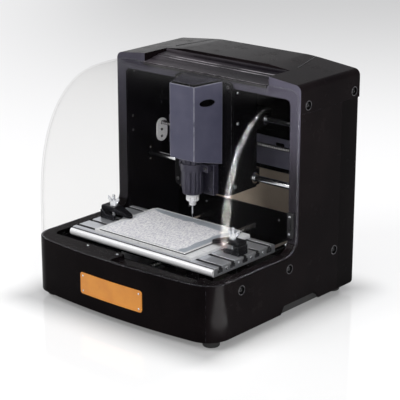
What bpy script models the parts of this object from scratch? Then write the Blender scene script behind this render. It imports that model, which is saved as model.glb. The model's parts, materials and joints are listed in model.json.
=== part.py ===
"""Desktop CNC router: steel base, portal housing, clear hood, sliding table and spindle head.

The model stands on Z = 0, X runs to the machine's right and Y to its rear. Units are metres.
"""

import math

import bmesh
import bpy
from mathutils import Vector

# Overall size
WIDTH = 0.430
DEPTH = 0.420
HEIGHT = 0.428

# Clearances
GAP = 0.0003
RUN = 0.002

# Covers
SHEET = 0.0025
COVER_BOTTOM = 0.014
RIM_TOP = 0.115
RIM_SIDE = 0.022
RIM_FRONT = 0.047
CORNER_RADIUS = 0.045
FRONT_BOW = 0.0105
FRONT_SPLIT_INSET = 0.019
RIM_FILLET = 0.0275
TRAY_LEFT = -0.015
TRAY_RIGHT = 0.165
TRAY_DEPTH = 0.008
TRAY_FRONT_WALL = 0.007
CUP_RADIUS = 0.0055
CUP_DEPTH = 0.005
CUP_WALL = 0.002
LOWER_CUP_Z = 0.093
UPPER_CUP_RISE = 0.013
FRONT_CUP_INSET = 0.090
POST_CUP_AHEAD = 0.0225
WRAP_CUP_AHEAD = 0.013
UPPER_CUP_INSETS = (0.0225, 0.016)
HAND_HOLD_AHEAD = 0.0455
HAND_HOLD_LENGTH = 0.110
HAND_HOLD_HEIGHT = 0.014
HAND_HOLD_SLOPE = 0.009

# Portal
PORTAL_DEPTH = 0.1745
CAP_HEIGHT = 0.062
ARCH_DROP = 0.039
ARCH_RADIUS = 0.010
EAVE_DROP = 0.011
RIDGE_HALF = 0.098
EAVE_RADIUS = 0.012
ROOF_EDGE_RADIUS = 0.005
REAR_WRAP = 0.0515
REAR_CORNER_RADIUS = 0.012
RECESS_HALF = 0.145
RECESS_LENGTH = 0.060
RECESS_DROP = 0.0225
RECESS_EAR = 0.008
PLATE_THICK = 0.006
PLATE_INSET = 0.001
PLATE_TOP_DROP = 0.044
PLATE_LOW_TOP = 0.102
PLATE_CORNER = 0.012

# Base frame
PAN_BOTTOM = 0.018
PAN_THICK = 0.003
FOOT_RADIUS = 0.015
FOOT_INSET = 0.028
FOOT_FRONT = 0.044
FOOT_REAR = 0.030
CROSS_FRONT_THICK = 0.008
CROSS_FRONT_TOP = 0.104
CROSS_REAR_BOTTOM = 0.066
CROSS_REAR_TOP = 0.122
CROSS_REAR_DEPTH = 0.0165
CROSS_REAR_WALL = 0.005
INNER_SHEET_TOP = 0.199
INNER_SHEET_THICK = 0.002

# Table
TABLE_LENGTH = 0.340
TABLE_DEPTH = 0.168
TABLE_THICK = 0.016
TABLE_TOP = 0.126
TABLE_SETBACK = 0.0705
TABLE_TRAVEL = 0.150
SLOT_COUNT = 5
SLOT_PITCH = 0.0335
SLOT_WIDTH = 0.008
SLOT_LIP = 0.005
SLOT_CHAMBER = 0.014
SLOT_DEPTH = 0.012
TABLE_LIP_RADIUS = 0.005
TABLE_ROD_RADIUS = 0.006
TABLE_ROD_X = 0.110
TABLE_ROD_Z = 0.082
TABLE_SCREW_RADIUS = 0.005
SADDLE_THICK = 0.0095
SADDLE_MARGIN = 0.0145
SADDLE_BLOCK = (0.030, 0.038, 0.028)
BOARD_SIZE = (0.234, 0.160, 0.006)
BOARD_X = 0.001
WORK_SIZE = (0.205, 0.156, 0.003)
WORK_X = -0.003

# Clamps
CLAMP_X = 0.143
CLAMP_WIDTH = 0.028
CLAMP_TOE = 0.0045
CLAMP_HEEL = 0.022
CLAMP_TOP = 0.152
BOLT_RADIUS = 0.003
BOLT_TOP = 0.172
BOLT_HEAD = 0.013
WING_HUB_RADIUS = 0.007
WING_HUB_HEIGHT = 0.010
WING_SPAN = 0.017
WING_RISE = 0.009
WING_THICK = 0.003

# X axis
X_ROD_RADIUS = 0.006
X_UPPER_ROD_PLACE = (0.099, 0.315)
X_LOWER_ROD_PLACE = (0.066, 0.2095)
X_SCREW_PLACE = (0.098, 0.2645)
X_SCREW_RADIUS = 0.004
X_NUT_RADIUS = 0.009
X_NUT_LENGTH = 0.020
X_NUT_WALL = 0.0055
BEARING_PLATE_HEIGHT = 0.046
BEARING_PLATE_WIDTH = 0.029
BEARING_PLATE_THICK = 0.003
COUPLING_RADIUS = 0.009
COUPLING_LENGTH = 0.023
MOTOR_SIDE = 0.042
MOTOR_LENGTH = 0.040
MOTOR_CORNER = 0.004
CROSS_PLATE_BOTTOM = 0.219
CROSS_PLATE_TOP = 0.2745
CROSS_PLATE_THICK = 0.003

# Carriage and head
HEAD_X = 0.0025
CARRIAGE_HALF = 0.061
CARRIAGE_DEPTH = 0.0725
CARRIAGE_BOTTOM = 0.191
CARRIAGE_TOP = 0.384
CARRIAGE_WALL = 0.006
BEARING_BLOCK_HALF = 0.0155
FRONT_PLATE_HALF = 0.067
FRONT_PLATE_THICK = 0.006
FRONT_PLATE_TOP = 0.401
FRONT_PLATE_BOTTOM = 0.190
FRONT_PLATE_RADIUS = 0.010
ARM_SLOT_HALF = 0.012
ARM_SLOT_BOTTOM = 0.215
ARM_SLOT_TOP = 0.330
HEAD_COVER_FRONT_HALF = 0.0285
HEAD_COVER_BACK_HALF = 0.047
HEAD_COVER_DEPTH = 0.057
HEAD_COVER_TOP = 0.400
HEAD_COVER_BOTTOM = 0.261
HEAD_COVER_REAR_BOTTOM = 0.244
HEAD_COVER_WALL = 0.002
HEAD_COVER_CHAMFER = 0.004
VENT_HALF_LENGTH = 0.021
VENT_HALF_HEIGHT = 0.007
VENT_Z = 0.366
SPINDLE_AHEAD = 0.028
SPINDLE_RADIUS = 0.0185
SPINDLE_RIB_DEPTH = 0.0012
SPINDLE_RIBS = 24
SPINDLE_BOTTOM = 0.193
SPINDLE_TOP = 0.330
SLIDE_HALF = 0.038
SLIDE_THICK = 0.013
SLIDE_BOTTOM = 0.192
SLIDE_TOP = 0.310
SLIDE_UP = 0.050
SLIDE_DOWN = 0.004
RAIL_X = 0.031
RAIL_WIDTH = 0.009
RAIL_DEPTH = 0.0052
ARM_HALF = 0.009
ARM_BOTTOM = 0.232
ARM_TOP = 0.248
Z_SCREW_SETBACK = 0.0245
Z_SCREW_RADIUS = 0.004
Z_NUT_RADIUS = 0.008
Z_NUT_LENGTH = 0.024
Z_SHELF_BOTTOM = 0.334
Z_SHELF_THICK = 0.0067
CLAMP_RING_WALL = 0.003
CLAMP_RING_BOTTOM = 0.236
CLAMP_RING_HEIGHT = 0.014
CLAMP_RING_HALF = 0.034
SHAFT_RADIUS = 0.0055
SHAFT_TOP = 0.213
NUT_RADIUS = 0.0118
NUT_NECK_RADIUS = 0.0065
NUT_TOP = 0.191
NUT_SHOULDER = 0.181
NUT_NECK = 0.178
NUT_BOTTOM = 0.170
CUTTER_RADIUS = 0.0015875
CUTTER_TIP = 0.1425

# Hood
HOOD_INSET = 0.0015
HOOD_WALL = 0.003
HOOD_SPRING = 0.138
HOOD_DROP = 0.019
HOOD_POWER = 2.8
HOOD_EDGE_RADIUS = 0.020
HOOD_GAP = 0.0015
HINGE_FORWARD = 0.052
HINGE_DROP = 0.016
HINGE_RADIUS = 0.006
HINGE_PIN_RADIUS = 0.003
HINGE_PIN_IN_EAR = 0.007
TONGUE_HALF = 0.143
TONGUE_THICK = 0.003

# Rear panel and electrics
INLET_X = -0.140
INLET_Z = 0.044
INLET_SIZE = (0.048, 0.028)
INLET_DEPTH = 0.022
INLET_FLANGE = 0.004
ROCKER_SIZE = (0.012, 0.020)
VENT_SLOTS = 9
VENT_SLOT_SIZE = (0.004, 0.040)
VENT_SLOT_PITCH = 0.012
VENT_SLOT_X = 0.100
VENT_SLOT_Z = 0.075
SUPPLY_SIZE = (0.098, 0.150, 0.036)
SUPPLY_PLACE = (-0.182, 0.080)
BOARD_PCB = (0.130, 0.150, 0.0016)
BOARD_PLACE = (0.050, 0.090)
STANDOFF_HEIGHT = 0.008
SENSOR_RADIUS = 0.006
SENSOR_LENGTH = 0.0205
SENSOR_SETBACK = 0.0205
SENSOR_Z = 0.117
SWITCH_SIZE = (0.013, 0.010, 0.046)
SWITCH_BOTTOM = 0.1435

# Places worked out from the sizes above
HALF = WIDTH / 2
FRONT = -DEPTH / 2
BACK = DEPTH / 2
PORTAL_FRONT = BACK - PORTAL_DEPTH
WRAP_Y = BACK - REAR_WRAP
PART_LINE = HEIGHT - CAP_HEIGHT
ARCH_BOTTOM = HEIGHT - ARCH_DROP
RECESS_FLOOR = HEIGHT - RECESS_DROP
PLATE_TOP = HEIGHT - PLATE_TOP_DROP
HOOD_TOP = HEIGHT - HOOD_DROP
HINGE_Z = HEIGHT - HINGE_DROP
FRONT_SPLIT_X = HALF - FRONT_SPLIT_INSET
FOOT_X = HALF - FOOT_INSET
LOWER_CUPS_Y = (FRONT + FRONT_CUP_INSET, PORTAL_FRONT - POST_CUP_AHEAD, WRAP_Y - WRAP_CUP_AHEAD)
UPPER_CUPS_Y = (PORTAL_FRONT + UPPER_CUP_INSETS[0], BACK - UPPER_CUP_INSETS[1])
HAND_HOLD_FRONT = PORTAL_FRONT - HAND_HOLD_AHEAD
OPEN_HALF = HALF - RIM_SIDE
RIM_INNER_Y = FRONT + RIM_FRONT
EAVE_Z = HEIGHT - EAVE_DROP
PAN_TOP = PAN_BOTTOM + PAN_THICK
PLATE_INNER = OPEN_HALF + PLATE_INSET
PLATE_OUTER = PLATE_INNER + PLATE_THICK
CROSS_FRONT_Y = RIM_INNER_Y + 0.001
CROSS_REAR_Y = BACK - 0.010 - CROSS_REAR_DEPTH
TABLE_FRONT = FRONT + TABLE_SETBACK
TABLE_BACK = TABLE_FRONT + TABLE_DEPTH
TABLE_BOTTOM = TABLE_TOP - TABLE_THICK
SLOT_CENTRE_Y = (TABLE_FRONT + TABLE_BACK) / 2
BOARD_TOP = TABLE_TOP + GAP + BOARD_SIZE[2]
WORK_TOP = BOARD_TOP + GAP + WORK_SIZE[2]
X_UPPER_ROD = (PORTAL_FRONT + X_UPPER_ROD_PLACE[0], X_UPPER_ROD_PLACE[1])
X_LOWER_ROD = (PORTAL_FRONT + X_LOWER_ROD_PLACE[0], X_LOWER_ROD_PLACE[1])
X_SCREW = (PORTAL_FRONT + X_SCREW_PLACE[0], X_SCREW_PLACE[1])
CARRIAGE_BACK = PORTAL_FRONT + CARRIAGE_DEPTH
Z_SCREW_Y = PORTAL_FRONT + Z_SCREW_SETBACK
SENSOR_Y = PORTAL_FRONT + SENSOR_SETBACK
SUPPLY_CORNER = (SUPPLY_PLACE[0], FRONT + SUPPLY_PLACE[1])
BOARD_CORNER = (BOARD_PLACE[0], FRONT + BOARD_PLACE[1])
CLAMP_RING_RADIUS = SPINDLE_RADIUS + CLAMP_RING_WALL
FRONT_PLATE_BACK = PORTAL_FRONT - RUN
FRONT_PLATE_FRONT = FRONT_PLATE_BACK - FRONT_PLATE_THICK
SPINDLE_Y = FRONT_PLATE_FRONT - SPINDLE_AHEAD
SLIDE_BACK = FRONT_PLATE_FRONT - 0.001
SLIDE_FRONT = SLIDE_BACK - SLIDE_THICK
HINGE_Y = PORTAL_FRONT + HINGE_FORWARD
MOTOR_FACE_X = PLATE_INNER - GAP - MOTOR_LENGTH


# ---------------------------------------------------------------- general tools


def clear_scene():
    for item in list(bpy.data.objects):
        bpy.data.objects.remove(item, do_unlink=True)


def finish_material(name, colour, roughness, metallic=0.0, alpha=1.0):
    material = bpy.data.materials.new(name)
    material.use_nodes = True
    shader = material.node_tree.nodes["Principled BSDF"]
    shader.inputs["Base Color"].default_value = (*colour, 1.0)
    shader.inputs["Roughness"].default_value = roughness
    shader.inputs["Metallic"].default_value = metallic
    shader.inputs["Alpha"].default_value = alpha
    return material


def object_from(bm, name):
    bmesh.ops.recalc_face_normals(bm, faces=bm.faces)
    mesh = bpy.data.meshes.new(name)
    bm.to_mesh(mesh)
    bm.free()
    item = bpy.data.objects.new(name, mesh)
    bpy.context.scene.collection.objects.link(item)
    return item


def prism(outline, low, high, axis="Z", name="blank"):
    """A closed outline of (a, b) points carried from low to high along an axis.

    The outline's plane is XY for Z, YZ for X and XZ for Y.
    """

    def place(a, b, t):
        if axis == "Z":
            return (a, b, t)
        if axis == "X":
            return (t, a, b)
        return (a, t, b)

    bm = bmesh.new()
    bottom = [bm.verts.new(place(a, b, low)) for a, b in outline]
    top = [bm.verts.new(place(a, b, high)) for a, b in outline]
    bm.faces.new(bottom)
    bm.faces.new(top)
    count = len(outline)
    for i in range(count):
        j = (i + 1) % count
        bm.faces.new((bottom[i], bottom[j], top[j], top[i]))
    return object_from(bm, name)


def box(low, high, name="blank"):
    outline = [(low[0], low[1]), (high[0], low[1]), (high[0], high[1]), (low[0], high[1])]
    return prism(outline, low[2], high[2], "Z", name)


def arc(cx, cy, radius, start, end, steps):
    """Points on a circle from start to end, in degrees."""
    points = []
    for i in range(steps + 1):
        angle = math.radians(start + (end - start) * i / steps)
        points.append((cx + radius * math.cos(angle), cy + radius * math.sin(angle)))
    return points


def circle(cx, cy, radius, steps=24):
    return arc(cx, cy, radius, 0, 360 - 360 / steps, steps - 1)


def rounded(low, high, radius, steps=4):
    """A rectangle with round corners, from its low and high corners."""
    points = []
    points += arc(high[0] - radius, high[1] - radius, radius, 0, 90, steps)
    points += arc(low[0] + radius, high[1] - radius, radius, 90, 180, steps)
    points += arc(low[0] + radius, low[1] + radius, radius, 180, 270, steps)
    points += arc(high[0] - radius, low[1] + radius, radius, 270, 360, steps)
    return points


def rod(axis, centre, radius, low, high, steps=24, name="blank"):
    return prism(circle(centre[0], centre[1], radius, steps), low, high, axis, name)


def turned(profile, centre, steps=24, name="blank"):
    """A closed profile of (radius, z) points, all off the axis, turned about a vertical axis."""
    bm = bmesh.new()
    rings = []
    for i in range(steps):
        angle = 2 * math.pi * i / steps
        ring = []
        for radius, z in profile:
            x = centre[0] + radius * math.cos(angle)
            y = centre[1] + radius * math.sin(angle)
            ring.append(bm.verts.new((x, y, z)))
        rings.append(ring)
    count = len(profile)
    for i in range(steps):
        ring = rings[i]
        after = rings[(i + 1) % steps]
        for j in range(count):
            k = (j + 1) % count
            bm.faces.new((ring[j], after[j], after[k], ring[k]))
    return object_from(bm, name)


def carve(target, operation, tools):
    """Joins, cuts or intersects the target with each tool, then drops the tool."""
    for tool in tools:
        modifier = target.modifiers.new(operation.lower(), "BOOLEAN")
        modifier.operation = operation
        modifier.solver = "EXACT"
        modifier.object = tool
        graph = bpy.context.evaluated_depsgraph_get()
        mesh = bpy.data.meshes.new_from_object(target.evaluated_get(graph))
        target.modifiers.clear()
        target.data = mesh
        bpy.data.objects.remove(tool, do_unlink=True)
    return target


def cut(target, *tools):
    return carve(target, "DIFFERENCE", tools)


def join(target, *tools):
    return carve(target, "UNION", tools)


def keep(target, *tools):
    return carve(target, "INTERSECT", tools)


def finish(item, name, material, smooth=False):
    """Names a piece, gives it its material and drops doubled points."""
    bm = bmesh.new()
    bm.from_mesh(item.data)
    bmesh.ops.remove_doubles(bm, verts=bm.verts, dist=0.000002)
    bmesh.ops.dissolve_degenerate(bm, edges=bm.edges, dist=0.000002)
    bm.to_mesh(item.data)
    bm.free()
    item.name = name
    item.data.name = name
    item.data.materials.clear()
    item.data.materials.append(material)
    if smooth:
        item.data.shade_smooth()
        item.data.set_sharp_from_angle(angle=math.radians(35))
    return item


def axis_empty(name, place, parent=None):
    empty = bpy.data.objects.new(name, None)
    empty.empty_display_size = 0.02
    bpy.context.scene.collection.objects.link(empty)
    empty.location = place
    if parent is not None:
        empty.parent = parent
        empty.location = Vector(place) - world_place(parent)
    return empty


def world_place(item):
    place = Vector(item.location)
    while item.parent is not None:
        item = item.parent
        place += item.location
    return place


def ride(parent, *items):
    """Parents pieces to a joint's empty and puts their origins on it."""
    origin = world_place(parent)
    for item in items:
        for vertex in item.data.vertices:
            vertex.co -= origin
        item.parent = parent


# ---------------------------------------------------------------- outlines


def plan_outline(inset, back):
    """The base seen from above: bowed front, round front corners, straight sides to back."""
    half = HALF - inset
    front = FRONT + inset
    corner = CORNER_RADIUS - inset
    flat = half - corner
    bow_radius = (flat**2 + FRONT_BOW**2) / (2 * FRONT_BOW) + corner
    centre_y = front + bow_radius
    reach = bow_radius - corner
    corner_y = centre_y - math.sqrt(reach**2 - flat**2)
    lean = math.degrees(math.asin(flat / reach))
    points = [(-half, back)]
    points += arc(-flat, corner_y, corner, 180, 270 - lean, 8)
    points += arc(0, centre_y, bow_radius, 270 - lean, 270 + lean, 12)[1:-1]
    points += arc(flat, corner_y, corner, 270 + lean, 360, 8)
    points.append((half, back))
    return points


def side_profile(inset, bottom, top, back):
    """The housing seen from the side: rim, fillet up to the post, post front."""
    rim = RIM_TOP - inset
    post = PORTAL_FRONT + inset
    fillet = RIM_FILLET
    points = [(FRONT - 0.01, bottom), (back, bottom), (back, top), (post, top)]
    points += arc(post - fillet, rim + fillet, fillet, 0, -90, 8)
    points.append((FRONT - 0.01, rim))
    return points


def roof_profile(inset, bottom):
    """The top cover seen from the front: flat ridge, sloping shoulders, round eaves."""
    half = HALF - inset
    ridge = HEIGHT - inset
    eave = EAVE_Z - inset
    radius = EAVE_RADIUS - inset
    slope = math.degrees(math.atan2(ridge - eave, half - RIDGE_HALF))
    right = arc(half - radius, eave - radius, radius, 0, 90 - slope, 5)
    right.append((RIDGE_HALF, ridge))
    left = [(-x, z) for x, z in reversed(right)]
    return [(half, bottom)] + right + left + [(-half, bottom)]


# ---------------------------------------------------------------- covers


def base_shell():
    """The folded sheet of the base and posts in one, before it is split into covers."""
    shell = prism(plan_outline(0, WRAP_Y), COVER_BOTTOM, PART_LINE, "Z")
    keep(shell, prism(side_profile(0, 0.0, PART_LINE + 0.01, WRAP_Y + 0.01), -HALF, HALF, "X"))
    hollow = prism(plan_outline(SHEET, WRAP_Y + 0.02), 0.0, PART_LINE + 0.02, "Z")
    inner = side_profile(SHEET, -0.01, PART_LINE + 0.03, WRAP_Y + 0.03)
    keep(hollow, prism(inner, -HALF, HALF, "X"))
    opening = rounded((-OPEN_HALF, RIM_INNER_Y), (OPEN_HALF, BACK + 0.1), 0.012)
    return cut(shell, hollow, prism(opening, 0.0, HEIGHT, "Z"))


def front_panel(paint):
    panel = base_shell()
    half = FRONT_SPLIT_X - GAP / 2
    keep(panel, box((-half, FRONT - 0.01, 0.0), (half, RIM_INNER_Y, RIM_TOP + 0.01)))
    low = (TRAY_LEFT - SHEET, FRONT + TRAY_FRONT_WALL + 0.001, RIM_TOP - TRAY_DEPTH - SHEET)
    high = (TRAY_RIGHT + SHEET, RIM_INNER_Y, RIM_TOP - 0.0005)
    block = box(low, high)
    keep(block, prism(plan_outline(SHEET / 2, BACK), 0.0, RIM_TOP, "Z"))
    join(panel, block)
    tray_low = (TRAY_LEFT, FRONT + TRAY_FRONT_WALL + SHEET, RIM_TOP - TRAY_DEPTH)
    tray_high = (TRAY_RIGHT, RIM_INNER_Y + 0.01, RIM_TOP + 0.01)
    tray = box(tray_low, tray_high)
    keep(tray, prism(plan_outline(TRAY_FRONT_WALL, BACK), 0.0, RIM_TOP + 0.02, "Z"))
    cut(panel, tray)
    return finish(panel, "front_panel", paint)


def screw_cup(side, y, z):
    """The wall and the hollow of one screw recess in a side wall."""
    wall_low = HALF - CUP_DEPTH - CUP_WALL
    ends = sorted((side * wall_low, side * (HALF - SHEET / 2)))
    wall = rod("X", (y, z), CUP_RADIUS + CUP_WALL, ends[0], ends[1], 16)
    ends = sorted((side * (HALF - CUP_DEPTH), side * (HALF + 0.01)))
    hollow = rod("X", (y, z), CUP_RADIUS, ends[0], ends[1], 20)
    return wall, hollow


def add_cups(cover, side, places, z):
    for y in places:
        wall, hollow = screw_cup(side, y, z)
        join(cover, wall)
        cut(cover, hollow)


def hand_hold(side):
    low = HAND_HOLD_FRONT
    high = HAND_HOLD_FRONT + HAND_HOLD_LENGTH
    top = COVER_BOTTOM + HAND_HOLD_HEIGHT
    outline = [(low, COVER_BOTTOM - 0.01), (high, COVER_BOTTOM - 0.01), (high, COVER_BOTTOM)]
    outline += [(high - HAND_HOLD_SLOPE, top), (low + HAND_HOLD_SLOPE, top), (low, COVER_BOTTOM)]
    ends = sorted((side * (HALF - 2 * SHEET), side * (HALF + 0.01)))
    return prism(outline, ends[0], ends[1], "X")


def side_cover(side, name, paint):
    cover = base_shell()
    half = FRONT_SPLIT_X + GAP / 2
    cut(cover, box((-half, FRONT - 0.01, 0.0), (half, RIM_INNER_Y + GAP, HEIGHT)))
    ends = sorted((side * 0.100, side * (HALF + 0.01)))
    keep(cover, box((ends[0], FRONT, 0.0), (ends[1], BACK, HEIGHT)))
    add_cups(cover, side, LOWER_CUPS_Y, LOWER_CUP_Z)
    cut(cover, hand_hold(side))
    return finish(cover, name, paint)


def rear_cover(paint):
    bottom = COVER_BOTTOM
    top = PART_LINE
    low = WRAP_Y + GAP
    radius = REAR_CORNER_RADIUS
    plan = [(-HALF, low), (HALF, low)]
    plan += arc(HALF - 0.006, BACK - 0.006, 0.006, 0, 90, 4)
    plan += arc(-HALF + 0.006, BACK - 0.006, 0.006, 90, 180, 4)
    cover = prism(plan, bottom, top, "Z")
    side = [(low - 0.01, bottom)] + arc(BACK - radius, bottom + radius, radius, 270, 360, 5)
    side += [(BACK, top + 0.01), (low - 0.01, top + 0.01)]
    keep(cover, prism(side, -HALF - 0.01, HALF + 0.01, "X"))
    inner = HALF - SHEET
    cut(cover, box((-inner, low - 0.01, 0.0), (inner, BACK - SHEET, top + 0.01)))
    cut(cover, inlet_block(INLET_SIZE, 0.0, BACK - 0.02, BACK + 0.01))
    for i in range(VENT_SLOTS):
        x = VENT_SLOT_X + (i - (VENT_SLOTS - 1) / 2) * VENT_SLOT_PITCH
        width, height = VENT_SLOT_SIZE
        low_corner = (x - width / 2, VENT_SLOT_Z - height / 2)
        high_corner = (x + width / 2, VENT_SLOT_Z + height / 2)
        slot = rounded(low_corner, high_corner, width * 0.49, 3)
        cut(cover, prism(slot, BACK - 0.02, BACK + 0.01, "Y"))
    return finish(cover, "rear_cover", paint)


def top_cover(paint):
    bottom = PART_LINE + GAP
    cover = prism(roof_profile(0, bottom), PORTAL_FRONT, BACK, "Y")
    edge = ROOF_EDGE_RADIUS
    side = [(PORTAL_FRONT, bottom - 0.01), (BACK, bottom - 0.01)]
    side += arc(BACK - edge, HEIGHT - edge, edge, 0, 90, 4)
    side += arc(PORTAL_FRONT + edge, HEIGHT - edge, edge, 90, 180, 4)
    keep(cover, prism(side, -HALF - 0.01, HALF + 0.01, "X"))
    hollow = prism(roof_profile(SHEET, bottom - 0.02), PORTAL_FRONT + SHEET, BACK - SHEET, "Y")
    recess_back = PORTAL_FRONT + RECESS_LENGTH
    low = (-RECESS_HALF - RECESS_EAR, PORTAL_FRONT, RECESS_FLOOR - SHEET)
    high = (RECESS_HALF + RECESS_EAR, recess_back + SHEET, HEIGHT + 0.01)
    cut(hollow, box(low, high))
    cut(cover, hollow)
    low = (-RECESS_HALF, PORTAL_FRONT - 0.01, RECESS_FLOOR)
    high = (RECESS_HALF, recess_back, HEIGHT + 0.01)
    cut(cover, box(low, high))
    top = (OPEN_HALF, ARCH_BOTTOM)
    arch = [(-OPEN_HALF, bottom - 0.05), (OPEN_HALF, bottom - 0.05)]
    arch += arc(top[0] - ARCH_RADIUS, top[1] - ARCH_RADIUS, ARCH_RADIUS, 0, 90, 4)
    arch += arc(-top[0] + ARCH_RADIUS, top[1] - ARCH_RADIUS, ARCH_RADIUS, 90, 180, 4)
    cut(cover, prism(arch, PORTAL_FRONT - 0.01, PORTAL_FRONT + SHEET + 0.001, "Y"))
    z = PART_LINE + UPPER_CUP_RISE
    for side_sign in (-1, 1):
        add_cups(cover, side_sign, UPPER_CUPS_Y, z)
        start = side_sign * (RECESS_HALF - 0.001)
        ends = sorted((start, side_sign * (RECESS_HALF + HINGE_PIN_IN_EAR + GAP)))
        bore = rod("X", (HINGE_Y, HINGE_Z), HINGE_PIN_RADIUS + GAP, ends[0], ends[1], 16)
        cut(cover, bore)
    return finish(cover, "top_cover", paint)


# ---------------------------------------------------------------- base frame


def base_pan(steel):
    pan = prism(plan_outline(SHEET + GAP, BACK - SHEET - GAP), PAN_BOTTOM, PAN_TOP, "Z")
    near = HAND_HOLD_FRONT - RUN
    far = HAND_HOLD_FRONT + HAND_HOLD_LENGTH + RUN
    for side in (-1, 1):
        ends = sorted((side * (PLATE_OUTER + GAP), side * (HALF + 0.01)))
        cut(pan, box((ends[0], near, PAN_BOTTOM - 0.01), (ends[1], far, PAN_TOP + 0.01)))
    return finish(pan, "base_pan", steel)


def feet(rubber):
    places = {
        "foot_front_left": (-FOOT_X, FRONT + FOOT_FRONT),
        "foot_front_right": (FOOT_X, FRONT + FOOT_FRONT),
        "foot_rear_left": (-FOOT_X, BACK - FOOT_REAR),
        "foot_rear_right": (FOOT_X, BACK - FOOT_REAR),
    }
    top = PAN_BOTTOM - GAP
    for name, place in places.items():
        profile = [(0.004, 0.002), (0.006, 0.0), (FOOT_RADIUS - 0.002, 0.0)]
        profile += [(FOOT_RADIUS, 0.002), (FOOT_RADIUS - 0.001, top), (0.004, top)]
        finish(turned(profile, place, 24), name, rubber, smooth=True)


def portal_plate(side, name, black):
    """One inner side plate: low at the front, tall inside the portal."""
    front = CROSS_FRONT_Y - 0.004
    tall = PORTAL_FRONT + SHEET + 0.002
    back = BACK - SHEET - 0.004
    radius = PLATE_CORNER
    outline = [(front, PAN_TOP + GAP), (back, PAN_TOP + GAP)]
    outline += arc(back - radius, PLATE_TOP - radius, radius, 0, 90, 4)
    outline += arc(tall + radius, PLATE_TOP - radius, radius, 90, 180, 4)
    outline += [(tall, PLATE_LOW_TOP), (front, PLATE_LOW_TOP)]
    ends = sorted((side * PLATE_INNER, side * PLATE_OUTER))
    plate = prism(outline, ends[0], ends[1], "X")
    for centre in (X_UPPER_ROD, X_LOWER_ROD):
        cut(plate, rod("X", centre, X_ROD_RADIUS + GAP, ends[0] - 0.01, ends[1] + 0.01, 20))
    return finish(plate, name, black)


def front_crossmember(black):
    low = (-PLATE_INNER + GAP, CROSS_FRONT_Y, PAN_TOP + GAP)
    high = (PLATE_INNER - GAP, CROSS_FRONT_Y + CROSS_FRONT_THICK, CROSS_FRONT_TOP)
    beam = box(low, high)
    ends = (low[1] - 0.01, high[1] + 0.01)
    for x in (-TABLE_ROD_X, TABLE_ROD_X):
        cut(beam, rod("Y", (x, TABLE_ROD_Z), TABLE_ROD_RADIUS + GAP, ends[0], ends[1], 20))
    cut(beam, rod("Y", (0, TABLE_ROD_Z), TABLE_SCREW_RADIUS + GAP, ends[0], ends[1], 20))
    return finish(beam, "front_crossmember", black)


def rear_crossmember(black):
    half = PLATE_INNER - GAP
    low = (-half, CROSS_REAR_Y, CROSS_REAR_BOTTOM)
    high = (half, CROSS_REAR_Y + CROSS_REAR_DEPTH, CROSS_REAR_TOP)
    beam = box(low, high)
    wall = CROSS_REAR_WALL
    groove_low = (-half + wall, low[1] + wall, low[2] + wall)
    groove_high = (half - wall, high[1] + 0.01, high[2] - wall)
    cut(beam, box(groove_low, groove_high))
    ends = (low[1] - 0.01, low[1] + wall + 0.002)
    for x in (-TABLE_ROD_X, TABLE_ROD_X):
        cut(beam, rod("Y", (x, TABLE_ROD_Z), TABLE_ROD_RADIUS + GAP, ends[0], ends[1], 20))
    cut(beam, rod("Y", (0, TABLE_ROD_Z), TABLE_SCREW_RADIUS + GAP, ends[0], ends[1], 20))
    return finish(beam, "rear_crossmember", black)


def rear_inner_sheet(beige):
    low = (-PLATE_INNER + GAP, CROSS_REAR_Y + 0.0035, CROSS_REAR_TOP + GAP)
    high = (PLATE_INNER - GAP, low[1] + INNER_SHEET_THICK, INNER_SHEET_TOP)
    return finish(box(low, high), "rear_inner_sheet", beige)


def cross_plate(violet):
    y = X_SCREW[0] + MOTOR_SIDE / 2 + 0.0015
    half = PLATE_INNER - GAP
    outline = [(-half, CROSS_PLATE_BOTTOM), (half, CROSS_PLATE_BOTTOM)]
    outline += [(half, CROSS_PLATE_TOP), (-half, CROSS_PLATE_TOP)]
    plate = prism(outline, y, y + CROSS_PLATE_THICK, "Y")
    ends = (y - 0.01, y + 0.02)
    for side in (-1, 1):
        slot_low = (side * 0.079 - 0.011, 0.2595)
        slot_high = (side * 0.079 + 0.011, 0.2665)
        cut(plate, prism(rounded(slot_low, slot_high, 0.0034, 3), ends[0], ends[1], "Y"))
        for z in (0.2300, 0.2655):
            cut(plate, rod("Y", (side * 0.103, z), 0.0028, ends[0], ends[1], 12))
    return finish(plate, "portal_cross_plate", violet)


# ---------------------------------------------------------------- table


def table_rods(chrome):
    front = CROSS_FRONT_Y + 0.0005
    back = CROSS_REAR_Y + CROSS_REAR_WALL - 0.0005
    for name, x in (("table_rod_left", -TABLE_ROD_X), ("table_rod_right", TABLE_ROD_X)):
        bar = rod("Y", (x, TABLE_ROD_Z), TABLE_ROD_RADIUS, front, back)
        finish(bar, name, chrome, smooth=True)
    screw = rod("Y", (0, TABLE_ROD_Z), TABLE_SCREW_RADIUS, front - 0.0003, back)
    return finish(screw, "table_screw", chrome, smooth=True)


def motor(name, axis, centre, low, high, black):
    """A square stepper motor with round corners, its length along an axis."""
    half = MOTOR_SIDE / 2
    corner_low = (centre[0] - half, centre[1] - half)
    corner_high = (centre[0] + half, centre[1] + half)
    outline = rounded(corner_low, corner_high, MOTOR_CORNER, 2)
    return finish(prism(outline, low, high, axis), name, black)


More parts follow.
